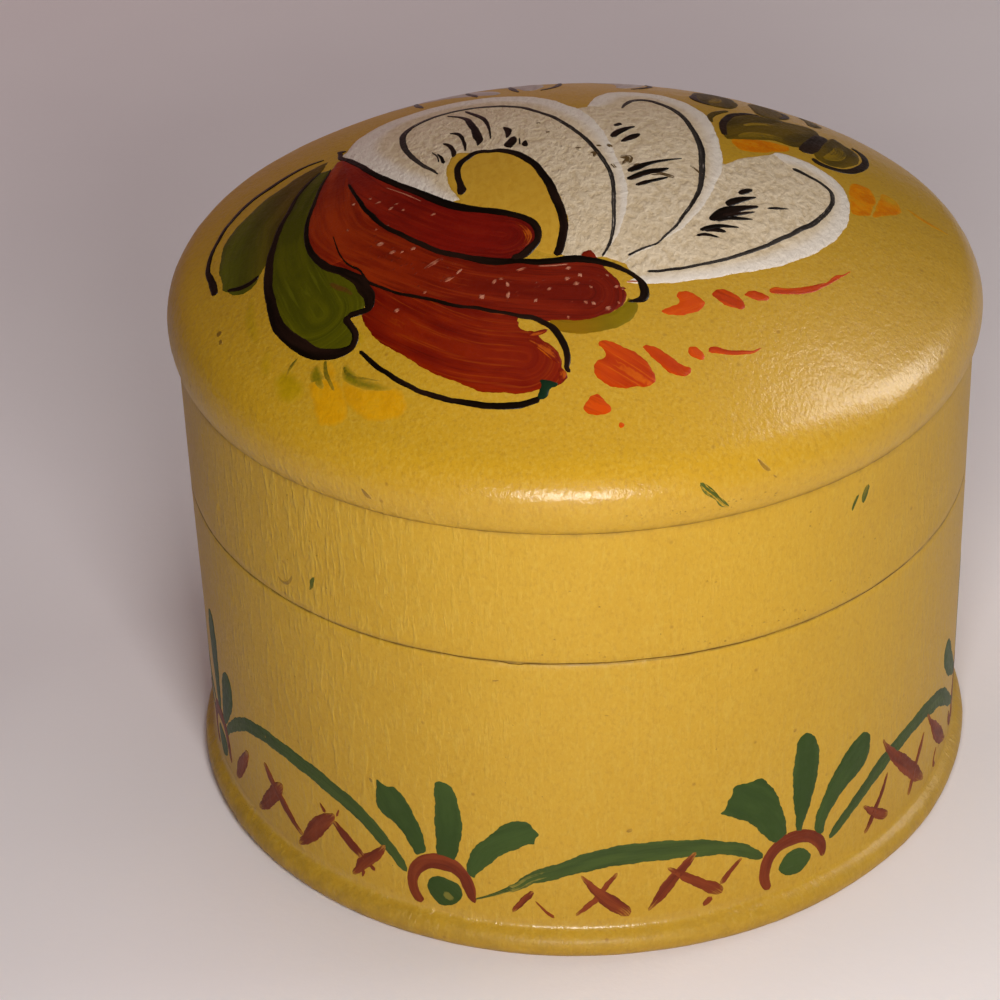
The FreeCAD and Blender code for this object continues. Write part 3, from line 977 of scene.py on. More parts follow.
COMMA_STROKES = (
    ((-12.9, 15.2, .1), (-11.5, 13.8, .2), (-10.7, 12.5, .35), (-10.26, 10.6, .4), (-9.8, 8.7, .45),
     (-9.5, 6.6, .5), (-9.3, 5.4, .4), (-9.44, 4.1, .05)),
    ((-11, 16, .15), (-10.7, 15.3, .2), (-9.9, 13.9, .28), (-9.2, 12.5, .3), (-8.7, 10.9, .25),
     (-8.4, 9.3, .18), (-8.25, 7.4, .12), (-8.1, 5.5, .08)),
    ((-12.46, 8.8, .1), (-11.8, 8.5, .25), (-11.3, 7.6, .25), (-11, 6.3, .2), (-10.8, 4.8, .18),
     (-10.7, 3.2, .1)),
    ((-13.1, 6.3, .08), (-12.5, 5.5, .25), (-12.1, 4.4, .28), (-11.9, 3.3, .28), (-11.9, 2.2, .15)),
    ((-13.6, 3.7, .08), (-13.2, 2.6, .18), (-12.85, 1.1, .2)),
    ((-14.2, 4.4, .08), (-13.6, 3, .08), (-13.4, 1.6, .08)),
    ((-6.8, 8.4, .12), (-6.4, 7.6, .4), (-6.3, 6.6, .35), (-6.45, 5.2, .1)),
    ((-5.7, 5.4, .25), (-5.9, 4.3, .55), (-6.2, 3.3, .55), (-6, 2.6, .15)),
    ((-5.15, 4.9, .08), (-5.07, 3.2, .08)),
    ((-4.5, 4.1, .1), (-4.6, 3.3, .35), (-4.4, 2.6, .2)),
    ((4.7, 7.3, .3), (5.4, 8.2, .3)),
    ((4.4, 4.2, .3), (4.9, 5.5, .5), (5.8, 6.6, .4), (6.8, 7.4, .12)),
    ((5.3, 3.1, .15), (6, 4, .45), (6.8, 5, .45), (7.3, 5.5, .15)),
    ((5.8, -3.4, .3), (6.6, -2.6, .5), (8, -1.4, .35), (9.8, -.4, .2), (11.4, .3, .06)),
    ((5.7, -5, .3), (6.6, -4.2, .45), (7.6, -3.4, .5), (8.8, -2.8, .5), (10, -2.1, .1)),
    ((6.5, -6, .2), (7.4, -5.4, .35), (8.6, -4.7, .25), (9.8, -4, .15)),
    ((16.9, -5.5, .25), (17.4, -4.8, .45), (18.3, -4.1, .25)),
    ((15.5, -8, .4), (16.3, -7, .55), (17.2, -6.3, .45), (18.6, -5.5, .1)),
    ((13.7, -11, .35), (14.5, -10, .6), (15.5, -9, .75), (17, -8, .5), (18.7, -7.2, .2)),
    ((19.6, -7.2, .15), (20.5, -6.8, .2), (21.8, -6.4, .06)),
    ((15, -10, .5), (16.5, -9.2, .3), (18.3, -8.3, .1)),
    ((14.2, -10.9, .3), (15.5, -10.2, .35), (16.8, -9.9, .3), (18, -9.7, .06)),
    ((12.6, -12.9, .2), (13.6, -12.2, .35), (14.7, -11.7, .3), (16.5, -11.5, .08)),
    ((13, -12.8, .25), (14.2, -12.4, .4), (15.2, -12.6, .15)),
    ((12.2, -13.8, .15), (13.2, -13.4, .25), (14.5, -13.6, .08)))
BROWN_SPECKS = (
    ((8, -3.6, .35), (9.2, -3.4, .3), (10.5, -3.9, .3)), ((.5, 1.5, .3), (1.3, 1.5, .35)),
    ((2.1, .4, .3), (2.6, .6, .35), (2.5, -.6, .2)), ((4.2, -1.9, .25), (4.6, -2.9, .2)),
    ((5.1, -.5, .35), (5.9, -.3, .45), (5.7, -1.6, .4), (5.3, -2.2, .2)),
    ((3.9, 2.5, .3), (4.3, 1.7, .25)), ((6.4, -2.3, .3), (7.1, -1.6, .25)),
    ((2.7, 2.2, .25), (3.3, 1.9, .2)), ((12.2, -.9, .15), (13, -2.2, .15), (13.7, -3.3, .15)),
    ((-2.4, 6, .3), (-2, 5.7, .3)), ((-3.4, 8.8, .25), (-3, 8.4, .25)))
# where the white ground shows through the worn red petals, in pixels: x, y, x, y, width
WORN_FLECKS = (
    (368, 200, 372, 198, 1.6), (375, 204, 383, 201, 0.9), (389, 210, 394, 206, 1.4),
    (394, 205, 400, 203, 1), (401, 211, 405, 209, 0.9), (353, 206, 355, 203, 1.3),
    (374, 230, 379, 228, 0.9), (346, 231, 350, 229, 1.2), (376, 245, 385, 243, 2),
    (388, 254, 396, 250, 1.5), (400, 253, 404, 250, 1.2), (410, 250, 416, 246, 1.3),
    (424, 269, 443, 257, 1.5), (443, 282, 455, 276, 1.7), (478, 298, 485, 294, 2.4),
    (492, 284, 497, 278, 1.2), (497, 278, 505, 278, 1.1), (506, 281, 508, 287, 1.2),
    (508, 290, 507, 299, 1.3), (422, 294, 427, 290, 1), (393, 312, 400, 308, 1.3),
    (516, 270, 527, 267, 1), (534, 302, 538, 298, 1.3), (547, 290, 552, 286, 1.1),
    (456, 274, 462, 268, 1), (430, 216, 436, 213, 0.8), (384, 228, 390, 224, 1),
    (563, 279, 571, 276, 1.6), (578, 275, 582, 273, 2), (573, 284, 580, 282, 1.6),
    (590, 287, 593, 285, 1.4), (606, 275.5, 609, 273.5, 1.6), (565, 269, 571, 266, 1.3),
    (584, 303, 588, 300, 1.6), (592, 304, 595, 301, 1.8), (605, 309, 611, 306, 1.8),
    (617, 303, 620, 301, 1.6), (613, 287, 620, 285, 1.6), (620, 287, 626, 288, 1.3),
    (566, 317, 570, 316, 1.2))
WORN_RUN = ((-20, -18, -11, -4, 4), (-11, -14, -19.5, -21.8, -22))     # x and y of small flecks
SMALL_FLECKS = 46

ORANGE_DABS = (
    ((10.1, -21.9), (11.1, -21.7), (12.2, -22.2), (12.7, -23), (12.3, -23.7), (11.4, -24.4),
     (10.1, -24.9), (8.9, -24.8), (8.4, -24.4), (9.4, -23.7), (10.06, -23.1), (9.9, -22.5)),
    ((13.4, -21.8), (13.8, -21), (14.6, -20.8), (15.4, -21), (16.1, -21.6), (16.5, -22.3),
     (16.3, -23), (15.2, -23.1), (14.3, -22.8), (13.8, -22.3)),
    ((16.5, -21.2), (16.8, -20.5), (17.4, -20.3), (18.3, -20.4), (18.9, -20.8), (18.8, -21.2),
     (18, -21.6), (17.2, -21.5)),
    ((2.3, -28.8), (2.4, -28.3), (3.2, -28.1), (4.2, -28.5), (5.3, -29.1), (6.2, -29.7), (7, -30.5),
     (7.5, -31.4), (7.55, -32.4), (6.8, -32.9), (5.6, -33.1), (4.6, -33.3), (3.5, -33.1),
     (2.4, -32.5), (1.8, -31.8), (1.7, -31), (2.1, -30.4), (2.9, -29.9), (2.8, -29.2)),
    ((6.4, -28.7), (6.8, -28.4), (7.5, -28.6), (8.6, -29.2), (9.6, -29.9), (10.4, -30.4),
     (11, -30.7), (10.7, -31.4), (9.8, -31.6), (9, -31.5), (8.3, -30.9), (7.6, -30.1), (6.8, -29.3)),
    ((10.7, -28.9), (11, -28.3), (11.5, -28.2), (12, -28.6), (12.4, -29.2), (12.2, -29.7),
     (11.6, -29.6), (10.9, -29.3)),
    ((1.3, -34), (2, -33.8), (2.6, -34.3), (3.4, -35.2), (3.1, -35.8), (2.1, -35.9), (1, -35.7),
     (.7, -35.1), (1, -34.4)),
    ((3.9, -36.7), (4.2, -36.4), (4.6, -36.6), (4.5, -37), (4.1, -37.05)))
ORANGE_STROKES = (
    ((19, -20.1, .2), (19.6, -19.75, .45), (21, -19.4, .4), (22.5, -18.75, .42),
     (23.5, -18.1, .4), (24.3, -17.4, .25), (25, -16.8, .15), (26, -15.5, .25), (26.6, -15, .1),
     (27.4, -14, .05)),
    ((12.7, -28.6, .25), (13.3, -28.3, .4), (14.5, -28.4, .28), (16, -28.1, .22), (17, -27.8, .15),
     (17.8, -27.2, .05)))
YELLOW_DABS = (
    ((-22.4, -27.9), (-21.5, -28.6), (-20.4, -29.4), (-19, -30), (-17.4, -30.4), (-16.2, -31),
     (-15.7, -32.4), (-15.9, -33.6), (-17, -34.2), (-18.5, -34), (-19.9, -33.4), (-21, -32.5),
     (-21.9, -31.2), (-22.5, -29.7)),
    ((-25.6, -27.3), (-25.5, -29.3), (-25.1, -31), (-24.5, -32.3), (-23.4, -33), (-22.1, -33),
     (-21.4, -31.9), (-21.5, -30.2), (-22.2, -28.7), (-22.9, -27.7), (-24.1, -27.1)),
    ((-24, -25.6), (-23.1, -25.8), (-22.6, -27.1), (-22.9, -28.3), (-23.9, -28)))
OLIVE_DABS = (
    ((-29.2, -25), (-27.7, -24.7), (-26.4, -25.9), (-25.7, -27.6), (-26.2, -29.1), (-27.6, -29.1),
     (-28.9, -27.8), (-29.5, -26.1)),
    ((-21.1, -22.6), (-20.1, -23.4), (-19.9, -24.8), (-20.8, -25.6), (-21.5, -24.4)))
OLIVE_STREAKS = (
    ((-31.9, -12.6, .3), (-32.1, -15, .9), (-31.9, -16.8, .95), (-31.4, -18.7, .85),
     (-30.9, -20.6, .3)),
    ((-29.7, -21, .3), (-30, -22.6, .85), (-29.9, -24, .75), (-29.6, -25, .3)))
GREEN_DABS = (
    ((-24.8, -25.6, .4), (-24.9, -26.7, .85), (-24.5, -27.7, .75), (-24.1, -28.6, .3)),
    ((-22, -26.6, .3), (-21.7, -27.9, .8), (-20.9, -28.9, .75), (-20, -29.5, .7),
     (-18.8, -30.2, .65), (-17.3, -30.8, .25)))
# painted shadows of the raised green dabs, lying just beside them
DAB_SHADOW_STREAKS = (
    ((-24, -25.4, .2), (-23.9, -26.6, .3), (-23.6, -27.7, .35), (-23, -29.2, .2)),
    ((-26.7, -24, .14), (-27.4, -24.7, .25), (-27.8, -25.6, .14)),
    ((-22.1, -26.8, .2), (-21.8, -27.7, .3), (-21.1, -28.4, .25), (-20, -28.9, .2),
     (-18.6, -29.6, .12)))
ORANGE_EDGES = (
    ((-5.5, -12.1, .15), (-4.8, -12.9, .3), (-4.3, -13.9, .42), (-4.2, -14.7, .35), (-4.6, -15.6, .3),
     (-5.3, -16.3, .12)),
    ((-4.4, -27.7, .15), (-3.4, -28.4, .4), (-2.5, -29.2, .5), (-1.8, -30, .4), (-1.4, -30.6, .2)),
    ((-1.5, -31.1, .2), (-1.1, -31.8, .35), (-1.5, -32.4, .2)),
    ((-4.4, -27.3, .2), (-3.3, -27.1, .28), (-2.5, -26.8, .2)))
OUTER_LEAF_LEFT = (
    (-25.4, 10.3), (-27, 9.8), (-28.6, 9), (-30.1, 7.7), (-31.7, 6.5), (-32.8, 5.2), (-33.9, 3.7),
    (-34.9, 2.1), (-35.8, 0), (-36.1, -3), (-36, -6), (-35.6, -8), (-35.3, -9.5), (-34.6, -10.5),
    (-34.1, -11.3), (-33, -11.8))
OUTER_LEAF_RIGHT = (
    (-25.6, 9), (-26.1, 7.5), (-27, 6.2), (-28, 4), (-28.6, 2), (-29, 0), (-29.6, -2), (-30.1, -5),
    (-30.4, -7.5), (-31.2, -9.5), (-31.6, -10.8), (-32.2, -11.6))
CRESCENT_OUTSIDE = seen_at(
    (549, 321), (552, 326), (560, 331), (572, 333), (585, 333), (600, 331), (615, 328), (625, 323),
    (633, 317), (638, 309), (638, 302)) + ((5.8, -23.2),)
CRESCENT_INSIDE = (
    (-2.2, -25.6), (-.8, -25.6), (1.1, -25.5), (2.5, -25.2), (3.7, -24.7), (4.6, -24), (5.3, -23.1))
FAR_LEAVES = (
    ((16.3, 7.1), (17.2, 7.3), (18, 7.6), (19, 8.2), (20, 8.8), (21.5, 9.4), (23.2, 9), (24.6, 10),
     (25.5, 12.5), (26.3, 15), (26.8, 18), (26, 19.5), (23.5, 19), (21.3, 18.6), (19.6, 18.2),
     (17.8, 16.4), (16.7, 13.5), (16.1, 10.5)),
    ((25.6, 7.6), (26.6, 6.6), (28, 6.8), (29.2, 8), (30.3, 10.2), (30.7, 12.6), (30.4, 14.6),
     (29.4, 16), (28.4, 17.6), (27.3, 15.5), (26.3, 12.5), (25.5, 10)),
    ((13.2, 22), (13.5, 20.4), (14.3, 19.2), (15.6, 18.6), (17.1, 18.8), (18, 20.2), (18.4, 22.5),
     (18.2, 25.5), (17.6, 28.2), (16, 29.6), (14.4, 28.4), (13.5, 25.4)),
    ((20.4, 19), (22.3, 18.6), (23.4, 20.2), (24.1, 22.6), (23.9, 25.2), (22.6, 27.6), (20.6, 28.4),
     (19.6, 25.6), (19.8, 22)))
FAR_LEAF_TIPS = (
    ((26.2, 21, .5), (26.7, 23, .9), (26.4, 25.4, .8), (25.6, 27.4, .4)),
    ((15, 11.8, .15), (14.9, 13.5, .35), (15.6, 15.6, .45), (17, 17.6, .3)))
FAR_LIGHTS = (
    ((17.6, 8.4, .3), (18.8, 9.6, .8), (20.6, 10.6, .9), (22.6, 10.8, .6)),
    ((18.4, 12.6, .2), (20.2, 14.6, .6), (22.6, 15.8, .3)),
    ((26.6, 8, .4), (27.6, 9.4, .9), (28.4, 11.6, .9), (28.6, 14, .4)),
    ((15.2, 20.4, .3), (16, 22.4, .7), (16.2, 25, .3)))
FAR_SCROLLS = (
    ((-7.6, 23.4, .5), (-9.6, 26, 1.7), (-12.6, 29, 2.3), (-16.6, 30.6, 1.9), (-20.2, 29.8, .8)),
    ((-4.2, 23.8, .5), (-4.2, 27, 1.6), (-5.6, 31, 2.2), (-9.4, 33.6, 1.7), (-12.4, 33.8, .7)),
    ((5.6, 24, .5), (6.6, 27.2, 1.5), (6, 30.8, 2.0), (3.2, 33.6, 1.4), (.8, 34.2, .6)))
FAR_LINERS = (
    ((16.2, 8.1, .3), (16.1, 9.9, .4), (16.2, 11.8, .45), (16.6, 13.7, .45), (17.2, 15.6, .45),
     (18.1, 17, .45), (19.2, 18.1, .4), (20.4, 18.6, .2)),
    ((25.3, 7.2, .3), (25.8, 6.3, .5), (27, 5.9, .5), (28.3, 6.1, .5), (29.3, 7, .5), (30.3, 8.6, .5),
     (31, 10.5, .45), (31.3, 12.5, .4), (31.1, 14.5, .4), (30.2, 16, .25)),
    ((24.3, 8.2, .6), (25, 9.6, 1.0), (25.6, 11.6, 1.0), (26.3, 14, .9), (27.1, 16.6, .8)),
    ((13.8, 24.4, .3), (13.5, 22, .45), (14, 20.2, .4), (15.2, 19, .2)),
    ((23.4, 24.6, .3), (23.6, 22.4, .4), (22.8, 20, .3)),
    ((-17, 30.6, .15), (-16.8, 27.6, .3), (-16.3, 24.6, .3), (-15.8, 22.8, .1)),
    ((-11.3, 30.4, .15), (-11, 27.4, .3), (-10.3, 25, .35), (-9.9, 23.2, .1)),
    ((-6.5, 31.2, .15), (-6.3, 28, .3), (-5.9, 25.4, .35), (-5.4, 23.4, .12)),
    ((-.9, 31.4, .15), (-1, 28.4, .35), (-1.5, 25.6, .35), (-3, 23.4, .15)),
    ((8.6, 31, .15), (9, 28, .3), (8.2, 25.2, .3), (6.8, 23.6, .1)))
LINER_TAIL = (
    (-24.6, 12.3, .22), (-24.1, 11.9, .3), (-23.6, 11.6, .1))
HOOK = seen_at(
    (539, 391), (540, 384), (538, 380), (545, 379), (553, 381), (558, 383), (556, 386), (552, 388),
    (550, 392), (548, 397)) + ((-3, -34.2), (-3.6, -34.2))
AMBER_PATCHES = (
    ((16.6, 7.4), (18.6, 8.4), (20.5, 9), (23, 8.8), (22.8, 7), (21.2, 5.8), (20, 4.9), (17.6, 4.4)),
    ((28.4, -3.9), (28.2, -1), (28.4, 1.6), (29, 3.8), (30.9, 4), (31.6, 1.8), (31.1, -.6),
     (30.5, -2.8)),
    ((30.4, -3.2), (30.9, -.6), (31.5, 1.6), (32.2, 4), (33.8, 3.5), (34.2, 1.2), (33.4, -.4),
     (32, -1.8)))


def outline_of(*rows):
    """One closed outline from rows of places that follow on from each other."""
    return np.vstack([smooth(row, STROKE_STEP)[:-1] for row in rows])


def places_of(stroke, start=None, end=None):
    """The places of a brush stroke, or of a part of it."""
    return [point[:2] for point in stroke[start:end]]


def paint_white_petals():
    full, shade = (242, 219, 186), (225, 199, 161)
    grain = granular_white("petal_white_paint", full, shade, 0.34)
    eye = Paint(on_dome, 0.8)
    eye.area(outline_of(EYE_EDGE, ((-11, -7), (-11.2, -8.3), (-8.7, -9.6), (-6.2, -10.8),
                                   (-4.2, -12.2), (-3.6, -14), (-4, -16), (-1.3, -17.6), (3.25, -17.7))),
             [(-10, -2), (-6, -5), (-3, -10), (-1, -16)])
    eye.piece("eye_ground", granular_white("eye_ochre_paint", (222, 170, 50), (214, 160, 40), 0.08))
    ground = Paint(on_dome, 1)
    ground.area(outline_of(FIRST_PETAL_BACK, FIRST_PETAL_RIGHT, EYE_EDGE, CRIMSON_TOP),
                [(-20, 8), (-15, 15), (-8, 17), (-2, 12), (1, 4), (3, -4), (2, -16)])
    shared_edge = [(x - .9, y) for x, y in FIRST_PETAL_RIGHT[::-1]]
    ground.area(outline_of(SECOND_PETAL_EDGE, ((5.2, -18.5), (3.25, -17.9)), shared_edge),
                [(5, 20), (9, 14), (10, 4), (9, -6), (6, -15)])
    ground.area(outline_of(THIRD_PETAL_EDGE, ((5.1, -21.1), (6, -20.6), (5.4, -19.4), (5.2, -18.5)),
                           [(x - .9, y + .2) for x, y in SECOND_PETAL_EDGE[:14:-1]],
                           ((15.2, .4), (15.8, .6))),
                [(24, 3), (22, -6), (16, -14), (8, -20)])
    ground.piece("petal_grounds", grain)
    rims = Paint(on_dome, 2, sided=True)
    rims.between(((-12, -7.3), (-13.6, -6), (-16.5, -2.7), (-18.5, .1), (-20.2, 2.6), (-21.5, 5.3),
                  (-22.8, 7.9)) + FIRST_PETAL_BACK + FIRST_PETAL_RIGHT[1:],
                 ((-11.2, -7), (-11.9, -5), (-12.4, -3), (-12.7, -1.2), (-13.6, -.2))
                 + tuple(places_of(FIRST_PETAL_LINER, 2)))
    rims.between(SECOND_PETAL_EDGE[1:], ((3.4, 13.4), (4.6, 14)) + tuple(places_of(SECOND_PETAL_LINER)))
    rims.between(THIRD_PETAL_EDGE[4:], places_of(THIRD_PETAL_LINER))
    white = granular_white("rim_white_paint", full, shade, 0.22, outer=(252, 239, 226))
    rims.piece("petal_rims", white)


CRIMSON_BOTTOM = tuple(places_of(THICK_LINER, 0, 18))
MIDDLE_PETAL_END = ((3, -18.7),) + seen_at(
    (607, 268), (612, 273), (618, 280), (622, 286), (626, 290), (627, 296), (625, 302), (619, 307),
    (611, 312), (602, 316), (588, 319), (570, 320)) + ((-1.8, -25.8), (-2.9, -25.9))
LOWER_PETAL_EDGE = (
    (-19.9, -20.7), (-20.5, -21.2), (-20.1, -22.8), (-19.3, -24.4), (-18.1, -25.8), (-16.9, -27),
    (-15.6, -28.1), (-14.5, -29.3), (-13.2, -30.3), (-11.8, -31.1), (-10.3, -32.1), (-8.7, -32.9),
    (-7, -33.25), (-5.2, -33.5), (-3.7, -33.3), (-1.5, -32.9), (-.7, -32.1))
LOWER_PETAL_END = ((-.7, -32.1),) + seen_at(
    (568, 374), (564, 370), (562, 366), (563, 361), (560, 354), (555, 348), (550, 343), (545, 341),
    (541, 337), (538, 332), (532, 330), (526, 330), (520, 328), (518, 325), (519, 322)) + (
    (-5.5, -25.4),)


def paint_red_petals():
    crimson = brushed_paint("crimson_paint", (132, 18, 4), (108, 10, 2), streak=1.5, dry_at=0.6,
                            gloss=0.4, left=((160, 40, 12), (132, 24, 8)), light=(156, 44, 12),
                            lines=0.4)
    red = brushed_paint("red_brown_paint", (136, 30, 2), (112, 18, 1), streak=1.4, dry_at=0.6,
                        gloss=0.4, left=((168, 54, 8), (138, 32, 4)), light=(166, 60, 12),
                        lines=0.45)
    orange = brushed_paint("orange_red_paint", (144, 34, 0), (120, 18, 0), streak=1.3, dry_at=0.52,
                           gloss=0.4, left=((134, 28, 2), (114, 14, 0)), light=(182, 78, 6),
                           lines=0.4)
    leaf_side = tuple(places_of(INNER_LEAF_RIGHT))
    lower = Paint(on_dome, 2)
    lower.area(outline_of(leaf_side[12:19], LOWER_PETAL_EDGE, LOWER_PETAL_END,
                          places_of(LOWER_LINER, 0, 15)[::-1], ((-23.9, -8.1), leaf_side[12])),
               [(-24, -14), (-20, -20), (-15, -25), (-10, -28.2), (-4.6, -29.6)], tint=0.3,
               unsteady=0.08)
    lower.piece("petal_orange_red", orange)
    middle = Paint(on_dome, 2.4)
    middle.area(outline_of(((-24.5, 9), (-24.9, 7.4)), leaf_side[:13],
                           ((-24.2, -13), (-22.6, -12.8)), places_of(LOWER_LINER, 2, 17),
                           MIDDLE_PETAL_END[::-1], places_of(THICK_LINER, 0, 24)[::-1],
                           ((-22.75, 1.6), (-22.9, 5.6), (-23.7, 9.2), (-24.5, 9))),
                [(-24.4, 8), (-24.6, 0), (-23, -8), (-18, -14), (-11, -19.5), (-4, -21.8), (1.2, -22.3)],
                tint=0.7)
    middle.blob(((.8, -18), (1.1, -17), (1.8, -16.7), (2.2, -17.2), (2.5, -18)), tint=0.6)
    middle.piece("petal_red_brown", red)
    upper = Paint(on_dome, 2.8)
    upper.between(places_of(CRIMSON_LINER, 2, 26),
                  ((-23.9, 8), (-23.4, 5), (-22.9, 2)) + CRIMSON_BOTTOM[1:] + ((-5.4, -17.2),),
                  [(-24, 9), (-22.3, 3.5), (-20, -1.5), (-17, -5.8), (-13.5, -9.6), (-10, -12.4),
                   (-6.6, -13.8)], tint=0.5)
    upper.piece("petal_crimson", crimson)
    edge = brushed_paint("orange_edge_paint", (190, 86, 8), (164, 58, 6), streak=1.6, dry_at=0.3,
                         ground=(126, 24, 2), lines=0.2)
    paint_strokes("petal_orange_edges", edge, 3.2, ORANGE_EDGES, load=(0.5, 0.95, 0.5))


def paint_leaves():
    moss = brushed_paint("moss_green_paint", (92, 88, 2), (78, 76, 2), streak=1.2, dry_at=0.64,
                         gloss=0.42, light=(116, 114, 14), lines=0.25)
    olive = brushed_paint("dark_olive_paint", (100, 76, 12), (84, 62, 10), streak=1.2, dry_at=0.62,
                          gloss=0.45, left=((98, 96, 14), (84, 84, 10)), left_span=(-35, -28),
                          coat=0.06, lines=0.25)
    inner = Paint(on_dome, 2)
    inner.between(places_of(INNER_LEAF_LEFT, 0, 21),
                  places_of(INNER_LEAF_RIGHT, 0, 18)
                  + [(-20.7, -20.8), (-21.9, -21.2), (-21.4, -22.8), (-21.2, -24)],
                  [(-25.6, 7), (-27.3, 2), (-28.2, -4), (-27.8, -10), (-26.2, -15.5), (-24.6, -19.6)])
    inner.piece("leaf_moss_green", moss)
    outer = Paint(on_dome, 1.6)
    outer.between(OUTER_LEAF_LEFT, OUTER_LEAF_RIGHT)
    outer.piece("leaf_dark_olive", olive)
    crescent = Paint(on_dome, 1.4)
    crescent.between(CRESCENT_OUTSIDE, CRESCENT_INSIDE, tint=0.2)
    fresh = brushed_paint("fresh_green_paint", (142, 116, 0), (120, 102, 0), streak=1.2, dry_at=0.56,
                          gloss=0.42, left=((166, 122, 0), (148, 106, 0)), left_span=(0, 5))
    crescent.piece("crescent_green", fresh)
    worn = wash("leaf_smear_wash", (112, 50, 6), (100, 60, 6), 0.5, 0.7, under=(86, 83, 2))
    smear = ((-23.9, -15.5, .4), (-23, -16.6, .6), (-22.1, -17.4, .5), (-21.5, -18.3, .3))
    paint_strokes("leaf_smear", worn, 3, [smear], rim=0.4)


def paint_far_leaves():
    """The olive leaves and pale scrolls on the far side of the lid."""
    olive = brushed_paint("shadow_olive_paint", (112, 86, 4), (80, 62, 4), streak=0.9, dry_at=0.64,
                          gloss=0.45, coat=0.05, specular=0.15)
    leaves = Paint(on_dome, 1.6)
    for outline in FAR_LEAVES:
        leaves.blob(outline)
    for line in FAR_LEAF_TIPS:
        leaves.stroke(line)
    leaves.piece("far_leaves", olive)
    shine = brushed_paint("yellow_olive_paint", (160, 124, 10), (120, 96, 10), streak=1.4, dry_at=0.4,
                          ground=(92, 72, 6), gloss=0.45, coat=0.05, specular=0.15)
    paint_strokes("far_leaf_lights", shine, 2, FAR_LIGHTS, load=(0.9, 0.6))
    pale = brushed_paint("grey_white_paint", (214, 198, 190), (190, 172, 164), streak=1.2, dry_at=0.5,
                         gloss=0.5, coat=0.15)
    paint_strokes("far_scrolls", pale, 1.5, FAR_SCROLLS)


def paint_liners():
    dark = brushed_paint("liner_paint", (16, 8, 2), (40, 22, 14), streak=1.4, dry_at=0.62, gloss=0.34,
                         ridges=0.02, coat=0.15)
    soft = brushed_paint("soft_liner_paint", (36, 28, 24), (64, 56, 50), streak=2.2, dry_at=0.46,
                         ground=(196, 180, 166))
    green = brushed_paint("green_black_paint", (14, 34, 22), (22, 46, 26), streak=1.4, dry_at=0.62,
                          gloss=0.34, coat=0.15)
    paint_strokes("liners_bold", dark, 4,
                  (THICK_LINER, CRIMSON_LINER, LOWER_LINER, FREE_LINER, INNER_LEAF_LEFT,
                   INNER_LEAF_RIGHT, EYE_LINER, OUTER_LEAF_LINER, OUTER_LEAF_END, LINER_TAIL))
    hook = Paint(on_dome, 4.4)
    hook.blob(HOOK)
    hook.piece("liner_hook", green)
    paint_strokes("liners_petals", soft, 3.4,
                  (FIRST_PETAL_LINER, SECOND_PETAL_LINER, THIRD_PETAL_LINER), load=(0.85, 0.8))
    paint_strokes("petal_hatching", dark, 3.8, COMMA_STROKES, load=(1, 0.75))
    umber = brushed_paint("umber_paint", (52, 32, 16), (38, 24, 12), streak=1.2, dry_at=0.6, gloss=0.4)
    paint_strokes("liners_far", umber, 2.6, FAR_LINERS, load=(1, 0.8))
    brown = brushed_paint("brown_speck_paint", (112, 84, 44), (88, 64, 32), streak=1.4, dry_at=0.36,
                          ground=(232, 210, 176), gloss=0.5)
    paint_strokes("petal_smudges", brown, 3, BROWN_SPECKS, load=(0.75, 0.95, 0.7), unsteady=0.08)


